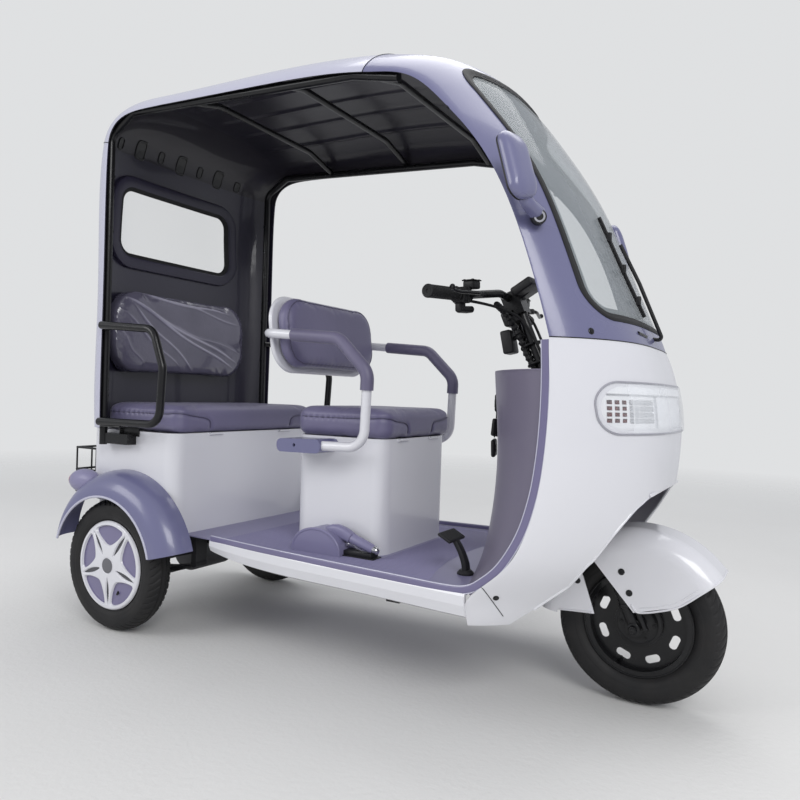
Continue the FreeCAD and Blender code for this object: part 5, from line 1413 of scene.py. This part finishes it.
# %% Fork and rim details
hub = Vector(front_hub)
rim_edge, rim_side = 0.1375, 0.0312
fork_bits, rim_bits = [], []
for side in (-1, 1):
    axle = hub + Vector((0, side * 0.066, 0))
    out = Vector((0, side, 0))
    fork_bits.append(turned([(0.016, 0.015), (0.016, 0.0175), (0.0145, 0.0185), (0.006, 0.0185)], axle, out,
                            24))
    fork_bits.append(turned([(0.0112, 0.018), (0.0112, 0.0265), (0.0098, 0.0285), (0.006, 0.0285)], axle,
                            out, 6))
    fork_bits.append(turned([(0.0059, 0.026), (0.0059, 0.0295), (0.0045, 0.0305)], axle, out, 16))
    damper = [axle + stem_ahead * 0.024 + stem_way * a for a in (-0.008, 0.05, 0.15, 0.29)]
    fork_bits.append(bar([p + out * 0.004 for p in damper], [0.0072, 0.0088, 0.0088, 0.0072], 14))
    fork_bits.append(block((-0.013, -0.006, -0.016), (0.032, 0.006, 0.012), 0.004,
                           Matrix((stem_ahead, (0, 1, 0), stem_way)).transposed(), axle, 2))
    for along in (0.06, 0.125, 0.30):
        fork_bits.append(turned([(0.0165, -0.006), (0.0172, -0.005), (0.0172, 0.005), (0.0165, 0.006)],
                                axle + stem_way * along, stem_way, 24))
    fork_bits.append(bolt(axle + stem_way * 0.125 + out * 0.0165, out, 0.0048))
    for reach in (0.0665, 0.1190):
        ridge = [hub + Vector((reach * math.cos(a), side * 0.0022, reach * math.sin(a)))
                 for a in np.linspace(0, 2 * math.pi, 72, endpoint=False)]
        rim_bits.append(bar(ridge, 0.0020, 8, closed=True))
    rim_bits.append(turned([(0.0605, 0.0225), (0.0600, 0.0245), (0.0520, 0.0262), (0.0500, 0.0250),
                            (0.0330, 0.0258), (0.0310, 0.0275), (0.0180, 0.0282), (0.0170, 0.0255)], hub,
                            out, 56))
    rim_bits += [bolt(hub + Vector((math.cos(a) * 0.042, side * 0.0245, math.sin(a) * 0.042)), out, 0.0038)
                 for a in circle(6)]
    ring = [hub + Vector((rim_edge * math.cos(a), side * rim_side, rim_edge * math.sin(a)))
            for a in np.linspace(0, 2 * math.pi, 96, endpoint=False)]
    rim_bits.append(bar(ring, 0.0022, 8, closed=True))
valve_turn = math.radians(-112)
valve_way = Vector((math.cos(valve_turn), 0, math.sin(valve_turn)))
rim_bits.append(bar([hub + valve_way * 0.125 + Vector((0, -0.012, 0)),
                     hub + valve_way * 0.110 + Vector((0, -0.022, 0)),
                     hub + valve_way * 0.100 + Vector((0, -0.030, 0))], [0.0042, 0.0032, 0.0036], 12))
add_piece("fork_fittings", *merged(fork_bits), black_enamel, "frame_black", "steering", sharp=40)
add_piece("front_rim_details", *merged(rim_bits), black_enamel, "rim_black", "front_wheel", sharp=40)
for side, word in ((-1, "right"), (1, "left")):
    center = Vector((rear_x, side * track, wheel_radius))
    bits = [bar([center + Vector((rim_edge * math.cos(a), side * rim_side, rim_edge * math.sin(a)))
                 for a in np.linspace(0, 2 * math.pi, 96, endpoint=False)], 0.0022, 8, closed=True)]
    low = math.radians(-62)
    bits.append(bar([center + Vector((0.088 * math.cos(low), side * 0.030, 0.088 * math.sin(low))),
                     center + Vector((0.098 * math.cos(low), side * 0.041, 0.098 * math.sin(low)))],
                    [0.0045, 0.0036], 12))
    add_piece("rear_rim_details_" + word, *merged(bits), black_enamel, "rim_black", "rear_wheel_" + word,
              sharp=40)
print("fork bits:", len(fork_bits), "rim bits:", len(rim_bits))

# %% [markdown]
# ## Pedal and parking brake
# The foot brake is a broad black arm in a rubber sleeve with a ribbed plate on top. The parking
# brake sits beside the driver's box: a lilac half-round cover with a flat outer face, an arm that
# sweeps forward into a smooth grip with a bright tip, and a black block below it.

# %% Foot brake
foot = Vector((0.4805, -0.235, 0.3238))


def flat_arm(line, wide, thick, way):
    """A soft flat bar: wide along one direction, thinner across."""
    points = []
    for i, here in enumerate(line):
        run = (line[min(i + 1, len(line) - 1)] - line[max(i - 1, 0)]).normalized()
        side = Vector(way)
        out = side.cross(run).normalized()
        for a in circle(20):
            c, s = math.cos(a), math.sin(a)
            points.append(here + side * wide[i] * math.copysign(abs(c) ** 0.6, c)
                          + out * thick[i] * math.copysign(abs(s) ** 0.7, s))
    return points, grid_faces(len(line), 20, wrap_columns=True) + end_caps(len(line), 20)


arm_bend = ((0.002, 0, 0.004), (-0.002, 0, 0.030), (-0.016, 0, 0.062), (-0.036, 0, 0.092))
arm_line = flowing([foot + Vector(p) for p in arm_bend], 6)
steps = len(arm_line)
pedal_bits = [flat_arm(arm_line, [0.016 - 0.004 * i / steps for i in range(steps)],
                       [0.0085 - 0.0015 * i / steps for i in range(steps)], (0, 1, 0)),
              turned([(0.0225, 0.0), (0.0225, 0.004), (0.0190, 0.008), (0.0150, 0.012)], foot, (0, 0, 1),
                     28)]
plate_turn = Matrix.Rotation(math.radians(28), 3, "Y")
plate_place = foot + Vector((-0.046, 0, 0.092))
pedal_bits.append(block((-0.021, -0.047, 0.0), (0.021, 0.047, 0.0085), 0.0035, plate_turn, plate_place, 3))
pedal_bits += [block((-0.018, y - 0.0022, 0.0080), (0.018, y + 0.0022, 0.0102), 0.0008, plate_turn,
                     plate_place, 1) for y in np.linspace(-0.038, 0.038, 9)]
pedal = add_piece("foot_brake", *merged(pedal_bits), black_plain, "frame_black", "chassis", sharp=40)
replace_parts(pedal, "brake_pedal")
print("pedal faces:", len(pedal.data.polygons))

# %% Parking brake
near_y, far_y, base_z, dome_x, dome_steps = -0.2023, -0.2803, 0.3238, 0.0145, 40


def dome_ring(y, grow):
    """One arch of the cover, from its rear foot over the top to its front foot."""
    ring = []
    for a in np.linspace(0.0001, math.pi - 0.0001, dome_steps):
        reach = (0.084 + grow) * -math.cos(a) * (1 if a > math.pi / 2 else 1.02)
        ring.append(Vector((dome_x + 0.0085 + reach, y, base_z + (0.072 + grow) * math.sin(a) ** 0.85)))
    return ring


rings = [dome_ring(y, g) for y, g in ((near_y, 0.0), (far_y + 0.010, 0.0), (far_y + 0.0065, 0.0),
                                      (far_y + 0.0045, 0.0022), (far_y + 0.001, 0.0022),
                                      (far_y - 0.0006, 0.0006), (far_y - 0.0006, -0.0035),
                                      (far_y + 0.0012, -0.0055))]
foot_line = [i * dome_steps for i in range(len(rings))]
dome = ([p for r in rings for p in r], grid_faces(len(rings), dome_steps) + end_caps(len(rings), dome_steps)
        + [tuple(foot_line), tuple(i + dome_steps - 1 for i in reversed(foot_line))])
middle_y = near_y - 0.036
sweep = flowing([(0.030, middle_y, 0.366), (0.062, middle_y, 0.386), (0.096, middle_y, 0.384),
                 (0.122, middle_y, 0.374)], 8)
grip_line = [Vector((0.121, middle_y, 0.3745)), Vector((0.127, middle_y, 0.3722)),
             Vector((0.190, middle_y, 0.3520)), Vector((0.197, middle_y, 0.3498))]
sweep_thick = [0.0250 - 0.0105 * i / len(sweep) for i in range(len(sweep))]
brake_bits = [dome, flat_arm(sweep, [0.0155] * len(sweep), sweep_thick, (0, 1, 0)),
              bar(grip_line, [0.0135, 0.0155, 0.0140, 0.0120], 20)]
brake = add_piece("parking_lever", *merged(brake_bits), lilac_satin, "panel_lilac", "chassis", sharp=40)
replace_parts(brake, "parking_brake")
bright = finish("bright_steel", (0.62, 0.62, 0.64), (0.50, 0.50, 0.52), rough=0.18, mottle=30, grain=300,
                depth=0.0001, metal=1.0)
tip = turned([(0.0118, -0.002), (0.0122, 0.004), (0.0112, 0.012), (0.0072, 0.0175), (0.0015, 0.019)],
             (0.196, middle_y, 0.3502), (0.95, 0, -0.30), 24)
blade = block((-0.040, -0.003, -0.006), (0.034, 0.003, 0.006), 0.002,
              Matrix.Rotation(math.radians(14), 3, "Y"), (0.150, middle_y - 0.004, 0.3495), 2)
lever_bolt = bolt((0.112, middle_y - 0.007, 0.356), (0, -1, 0), 0.0035)
add_piece("parking_lever_metal", *merged([tip, blade, lever_bolt]), bright, "trim_black", "chassis",
          sharp=40)
rest_block = block((0.0835, middle_y - 0.018, base_z), (0.2005, middle_y + 0.022, base_z + 0.017), 0.004)
rest_foot = block((0.0700, middle_y - 0.024, base_z), (0.2080, middle_y + 0.026, base_z + 0.004), 0.0015,
                  steps=1)
add_piece("parking_lever_block", *merged([rest_block, rest_foot]), black_trim, "trim_black", "chassis",
          sharp=40)
print("parking lever faces:", len(brake.data.polygons))

# %% [markdown]
# ## Lamps at the back, keys, wiper
# Each tail pod carries a round red lens that follows its swelling shape. A ring of keys hangs from
# the lock at the top of the leg shield. The wiper's arm gets a rubber blade under a black spine,
# and both follow the glass closely.

# %% Tail lenses
tail_skin = surface_of("tail_lamps")
tail_red = finish("tail_red", (0.42, 0.010, 0.014), (0.30, 0.006, 0.010), rough=0.14, mottle=60, grain=900,
                  depth=0.0003, coat=0.8)
lens_bits = []
for side in (-1, 1):
    points = []
    for ring, lift in ((1.0, 0.0003), (0.97, 0.0022), (0.84, 0.0030), (0.80, 0.0022), (0.45, 0.0034),
                       (0.0, 0.0038)):
        for a in circle(40):
            hit = tail_skin.ray_cast(Vector((-1.2, side * 0.402 + 0.021 * ring * math.cos(a),
                                             0.470 + 0.021 * ring * math.sin(a))), Vector((1, 0, 0)))
            points.append(hit[0] - Vector((lift, 0, 0)))
    lens_bits.append((points, grid_faces(6, 40, wrap_columns=True)))
add_piece("tail_lenses", *merged(lens_bits), tail_red, "lamp_red", "chassis")
print("tail lens points:", sum(len(b[0]) for b in lens_bits))

# %% Keys and their fob
key_bits = []
key_places = ((0.460, 0.0, 0.776), (0.457, 0.003, 0.703), (0.455, -0.003, 0.644))
shield_skin = surface_of("leg_shield")
lock_hit = shield_skin.ray_cast(Vector((0.2, 0, 0.835)), Vector((1, 0, 0)))[0]
key_bits.append(turned([(0.016, 0.003), (0.016, -0.006), (0.012, -0.009), (0.0005, -0.009)], lock_hit,
                       (1, 0, 0), 28))
ring = [Vector((lock_hit.x - 0.012 - 0.002 * math.cos(a), 0.012 * math.sin(a), 0.818 + 0.017 * math.cos(a)))
        for a in np.linspace(0, 2 * math.pi, 32, endpoint=False)]
key_bits.append(bar(ring, 0.0012, 8, closed=True))
key_bits.append(bar(flowing([(lock_hit.x - 0.012, 0, 0.803)]
                            + [Vector(p) + Vector((0, 0, 0.030)) for p in key_places], 6), 0.0018, 8))
for i, (x, y, z) in enumerate(key_places):
    swing, tilt = math.radians((14, -20, 8)[i]), math.radians((4, -7, 9)[i])
    turn = Matrix.Rotation(swing, 3, "Z") @ Matrix.Rotation(tilt, 3, "X")
    key_bits.append(block((-0.0065, -0.0165, -0.026), (0.0065, 0.0165, 0.026), 0.006, turn, (x, y, z), 3))
    key_bits.append(block((-0.0078, -0.009, -0.014), (0.0078, 0.009, 0.012), 0.003, turn, (x, y, z), 2))
add_piece("keys_and_fobs", *merged(key_bits), black_trim, "trim_black", "chassis", sharp=45)
print("keys hang at", [round(c, 3) for c in lock_hit])

# %% Wiper blade
glass_skin = surface_of("windshield_glass")


def on_glass(y, z, lift):
    """A place a little in front of the windshield."""
    hit, normal, _, _ = glass_skin.ray_cast(Vector((1.4, y, z)), Vector((-1, 0, 0)))
    return hit + normal * (lift if normal.x > 0 else -lift)


blade_line = [(-0.012 - 0.27 * (z - 1.0), z) for z in np.linspace(1.012, 1.268, 26)]
rubber = [on_glass(y, z, 0.0022) for y, z in blade_line]
spine = [on_glass(y, z, 0.0075) for y, z in blade_line]
wiper_bits = [flat_arm(rubber, [0.0026] * 26, [0.0016] * 26, (0, 1, 0.27)),
              flat_arm(spine, [0.0042] * 26, [0.0032] * 26, (0, 1, 0.27))]
for i in (4, 12, 20):
    wiper_bits.append(block((-0.006, -0.006, -0.012), (0.006, 0.006, 0.012), 0.0025, None,
                            spine[i] + Vector((0.002, 0, 0)), 2))
add_piece("wiper_blade", *merged(wiper_bits), black_trim, "trim_black", "chassis", sharp=45)
print("wiper blade from", [round(c, 3) for c in spine[0]], "to", [round(c, 3) for c in spine[-1]])

# %% [markdown]
# ## Screws and seams
# Screws hold the windshield frame's foot, the sill and the hoop. Where the nose meets the sill a
# thin dark joint runs round the corner. A black bracket ties each grab rail to the box, and a short
# black bar marks the slot in the windshield frame's foot.

# %% Screws, seams, brackets
def on_skin(name, spot, lift=0.0):
    """The nearest place on a solid's skin, and the way out of it."""
    hit, normal, _, _ = surface_of(name).find_nearest(Vector(spot))
    return hit + normal * lift, normal


screw_bits, seam_bits, bracket_bits = [], [], []
for side in (-1, 1):
    for name, spot, size in (("windshield_frame", (0.822, 0.351, 0.948), 0.0052),
                             ("nose_panel", (0.630, 0.390, 0.321), 0.0048),
                             ("windshield_frame", (0.470, 0.405, 1.480), 0.0042),
                             ("windshield_frame", (0.645, 0.395, 1.240), 0.0042)):
        place, out = on_skin(name, (spot[0], side * spot[1], spot[2]))
        screw_bits.append(bolt(place, out, size))
    for z in (0.918, 1.078, 1.30, 1.48):
        place, out = on_skin("cab_frame", (-0.768, side * 0.372, z))
        screw_bits.append(bolt(place, out, 0.0046))
    joint = [on_skin("nose_panel", (x, side * y, z), 0.0002)[0] for x, y, z in
             ((0.600, 0.418, 0.352), (0.609, 0.4143, 0.342), (0.622, 0.395, 0.312), (0.630, 0.372, 0.288),
              (0.635, 0.3535, 0.270))]
    seam_bits.append(bar(flowing(joint, 6), 0.0010, 8))
    bracket_bits.append(block((-0.7236, -0.0025, 0.6275), (-0.6300, 0.0025, 0.6650), 0.002, None,
                              (0, side * 0.3628, 0), 2))
    bracket_bits.append(block((-0.7236, -0.040, 0.6585), (-0.6300, 0.040, 0.6640), 0.002, None,
                              (0, side * 0.4020, 0), 2))
slot_line = ((0.8866, -0.165, 0.9595), (0.891, -0.133, 0.957), (0.8932, -0.101, 0.955))
slot_line = [on_skin("windshield_frame", spot, 0.0004)[0] for spot in slot_line]
bracket_bits.append(bar(flowing(slot_line, 4), 0.0042, 10))
add_piece("screws", *merged(screw_bits), black_enamel, "frame_black", "chassis", sharp=40)
add_piece("sill_joints", *merged(seam_bits), vent_shade_and_joint_black, "trim_black", "chassis")
add_piece("rail_brackets", *merged(bracket_bits), black_enamel, "frame_black", "chassis", sharp=40)
print("screws:", len(screw_bits), "brackets:", len(bracket_bits))

# %% [markdown]
# The wires of the switches run down behind the stem in a crumpled black wrap, held by two ties.
# The wrap is a tube whose radius wanders a little, so that it looks wound by hand.

# %% Wire wrap on the stem
wrap_bits = []
for side, start in ((-1, bar_place(-0.020, -0.120, -0.012)), (1, bar_place(-0.020, 0.120, -0.012))):
    line = flowing([start, bar_place(-0.016, side * 0.062, -0.032),
                    stem_foot + stem_way * 0.845 - stem_ahead * 0.026 + Vector((0, side * 0.020, 0)),
                    stem_foot + stem_way * 0.775 - stem_ahead * 0.026 + Vector((0, side * 0.012, 0)),
                    stem_foot + stem_way * 0.715 - stem_ahead * 0.018], 14)
    wrap_bits.append(bar(line, [0.0085 + 0.0016 * math.sin(i * 1.9 + side) + 0.0010 * math.sin(i * 4.3)
                                for i in range(len(line))], 12))
for along in (0.800, 0.745):
    wrap_bits.append(turned([(0.0290, -0.003), (0.0302, -0.002), (0.0302, 0.002), (0.0290, 0.003)],
                            stem_foot + stem_way * along - stem_ahead * 0.008, stem_way, 28))
add_piece("wire_wrap", *merged(wrap_bits), black_trim, "trim_black", "steering", sharp=60)
print("wrap pieces:", len(wrap_bits))
